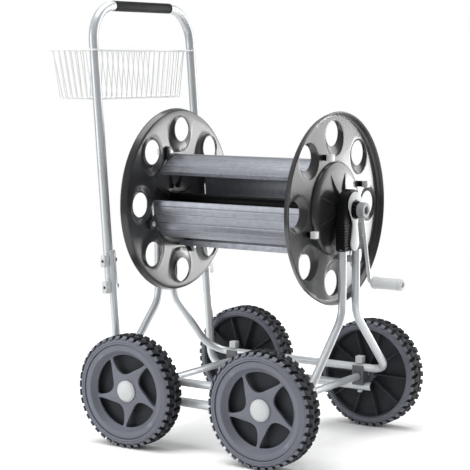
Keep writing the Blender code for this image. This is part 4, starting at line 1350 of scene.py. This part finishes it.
# %% The inlet elbow
INLET_X = -0.288
inlet = bent_path([(-0.2626, 0, AXIS_Z), (INLET_X, 0, AXIS_Z), (INLET_X, 0, AXIS_Z - 0.0600)], (0.014,), 10)
shape = sweep(inlet, 0.0092, 0.0018, 36)
nut = rounded([(0.2626, 0.0075), (0.2626, 0.0104), (0.2700, 0.0104), (0.2700, 0.0085)], 0.0006)
add_shape(shape, lathe(nut, (-1, 0, 0), (0, 0, AXIS_Z), 40))
band = rounded([(0.026, 0.0085), (0.026, 0.0104), (0.031, 0.0104), (0.031, 0.0085)], 0.0006)
add_shape(shape, lathe(band, (0, 0, -1), (INLET_X, 0, AXIS_Z), 40))
ridge = [(-0.0006, 0.0088), (-0.0002, 0.0103), (0.0002, 0.0103), (0.0006, 0.0088)]
thread = lathe(ridge, (0, 0, 1), (0, 0, 0), 36)
add_shape(shape, row_of(thread, 9, (INLET_X, 0, AXIS_Z - 0.0590), (0, 0, 0.0025), "pale_plastic"))
piece("threaded_elbow", shape, "pale_plastic", "frame", "light_grey_plastic", "inlet_elbow")
print("inlet drops to z", round(AXIS_Z - 0.0600, 3))

# %% [markdown]
# ## The wire basket
#
# The basket is welded from thin white-coated wire. Every wire is a bent line with a round
# section, so one more tree does them all: it copies a drawn line along a row, leans each copy
# a little more than the last so that the basket widens upwards, rounds the corners, and gives
# the lines their thickness.

# %% The tree that makes wires


def wire_tree():
    tree, given, result = new_tree("row_of_wires", [
        ("Count", "Int"), ("First", "Vector"), ("Step", "Vector"), ("First Lean", "Vector"),
        ("Lean Step", "Vector"), ("Corner Radius", "Float"), ("Wire Radius", "Float"),
        ("Finish", "Material")])
    number = wire(tree, "GeometryNodeInputIndex")
    lean = wire(tree, "ShaderNodeVectorMath",
                {0: given["Lean Step"], 1: number.outputs[0], 2: given["First Lean"]},
                operation="MULTIPLY_ADD")
    line = wire(tree, "GeometryNodeMeshLine",
                {"Count": given["Count"], "Start Location": given["First"], "Offset": given["Step"]})
    copies = wire(tree, "GeometryNodeInstanceOnPoints",
                  {"Points": line.outputs[0], "Instance": given["Shape"], "Rotation": lean.outputs[0]})
    real = wire(tree, "GeometryNodeRealizeInstances", {"Geometry": copies.outputs[0]})
    curves = wire(tree, "GeometryNodeMeshToCurve", {"Mesh": real.outputs[0]})
    bent = wire(tree, "GeometryNodeFilletCurve",
                {"Curve": curves.outputs[0], "Radius": given["Corner Radius"], "Count": 4}, mode="POLY")
    section = wire(tree, "GeometryNodeCurvePrimitiveCircle",
                   {"Resolution": 8, "Radius": given["Wire Radius"]})
    swept = wire(tree, "GeometryNodeCurveToMesh",
                 {"Curve": bent.outputs[0], "Profile Curve": section.outputs[0], "Fill Caps": True})
    dressed = wire(tree, "GeometryNodeSetMaterial",
                   {"Geometry": swept.outputs[0], "Material": given["Finish"]})
    tree.links.new(dressed.outputs[0], result.inputs[0])
    return tree


WIRES = wire_tree()


def drawn_line(points, closed=False):
    """A bare line of edges."""
    shape = bmesh.new()
    corners = [shape.verts.new(point) for point in points]
    for start, end in zip(corners, corners[1:]):
        shape.edges.new((start, end))
    if closed:
        shape.edges.new((corners[-1], corners[0]))
    return shape


def wires(points, radius, bend, count=1, first=(0, 0, 0), step=(0, 0, 0), lean=(0, 0, 0), lean_step=(0, 0, 0),
          closed=False):
    return grown(drawn_line(points, closed), WIRES, Count=count, First=tuple(first), Step=tuple(step),
                 First_Lean=tuple(lean), Lean_Step=tuple(lean_step), Corner_Radius=bend, Wire_Radius=radius,
                 Finish=finish["basket_coat"])


print("wire tree:", WIRES.name)

# %% Weld the basket together
RIM_R, WIRE_R = 0.0021, 0.0013
RIM_Z, FLOOR_Z = 0.873 - RIM_R, 0.757 + 2 * WIRE_R
OUT_RIM, IN_RIM = -0.432 + RIM_R, -0.3148 - RIM_R
OUT_FLOOR, IN_FLOOR = -0.412, -0.327
RIM_HALF, FLOOR_HALF = 0.196 - RIM_R, 0.174
CROSS = 19
basket = wires([(OUT_RIM, -RIM_HALF, RIM_Z), (IN_RIM, -RIM_HALF, RIM_Z), (IN_RIM, RIM_HALF, RIM_Z),
                (OUT_RIM, RIM_HALF, RIM_Z)], RIM_R, 0.012, closed=True)
lean_end = math.atan2(0.178 - FLOOR_HALF, RIM_Z - FLOOR_Z)
cross = [(OUT_RIM, 0, RIM_Z - FLOOR_Z), (OUT_FLOOR, 0, 0), (IN_FLOOR, 0, 0), (IN_RIM, 0, RIM_Z - FLOOR_Z)]
add_shape(basket, wires(cross, WIRE_R, 0.006, CROSS, (0, -FLOOR_HALF, FLOOR_Z),
                        (0, 2 * FLOOR_HALF / (CROSS - 1), 0), (lean_end, 0, 0),
                        (-2 * lean_end / (CROSS - 1), 0, 0)))
LENGTHWISE = 6
for share in [index / (LENGTHWISE - 1) for index in range(LENGTHWISE)]:
    x_low = OUT_FLOOR + (IN_FLOOR - OUT_FLOOR) * (0.08 + 0.84 * share)
    x_high = OUT_RIM + (IN_RIM - OUT_RIM) * (0.12 + 0.76 * share)
    line = [(x_high, -RIM_HALF, RIM_Z), (x_low, -FLOOR_HALF, FLOOR_Z + 2 * WIRE_R),
            (x_low, FLOOR_HALF, FLOOR_Z + 2 * WIRE_R), (x_high, RIM_HALF, RIM_Z)]
    add_shape(basket, wires(line, WIRE_R, 0.006))
for side in SIDES.values():
    y = side * UPPER_Y
    hook = [(IN_RIM, y - side * 0.016, RIM_Z), (IN_RIM + 0.004, y - side * 0.013, RIM_Z - 0.001),
            (upper_x(RIM_Z) + 0.0135, y - side * 0.0125, RIM_Z + 0.0005),
            (upper_x(RIM_Z) + 0.0135, y + side * 0.0125, RIM_Z + 0.0005), (IN_RIM, y + side * 0.0125, RIM_Z)]
    add_shape(basket, wires(hook, RIM_R * 0.85, 0.009))
piece("wire_basket", basket, "basket_coat", "frame", "basket_white", "basket", sharp=50)
print("cross wires", CROSS, "lengthwise", LENGTHWISE)
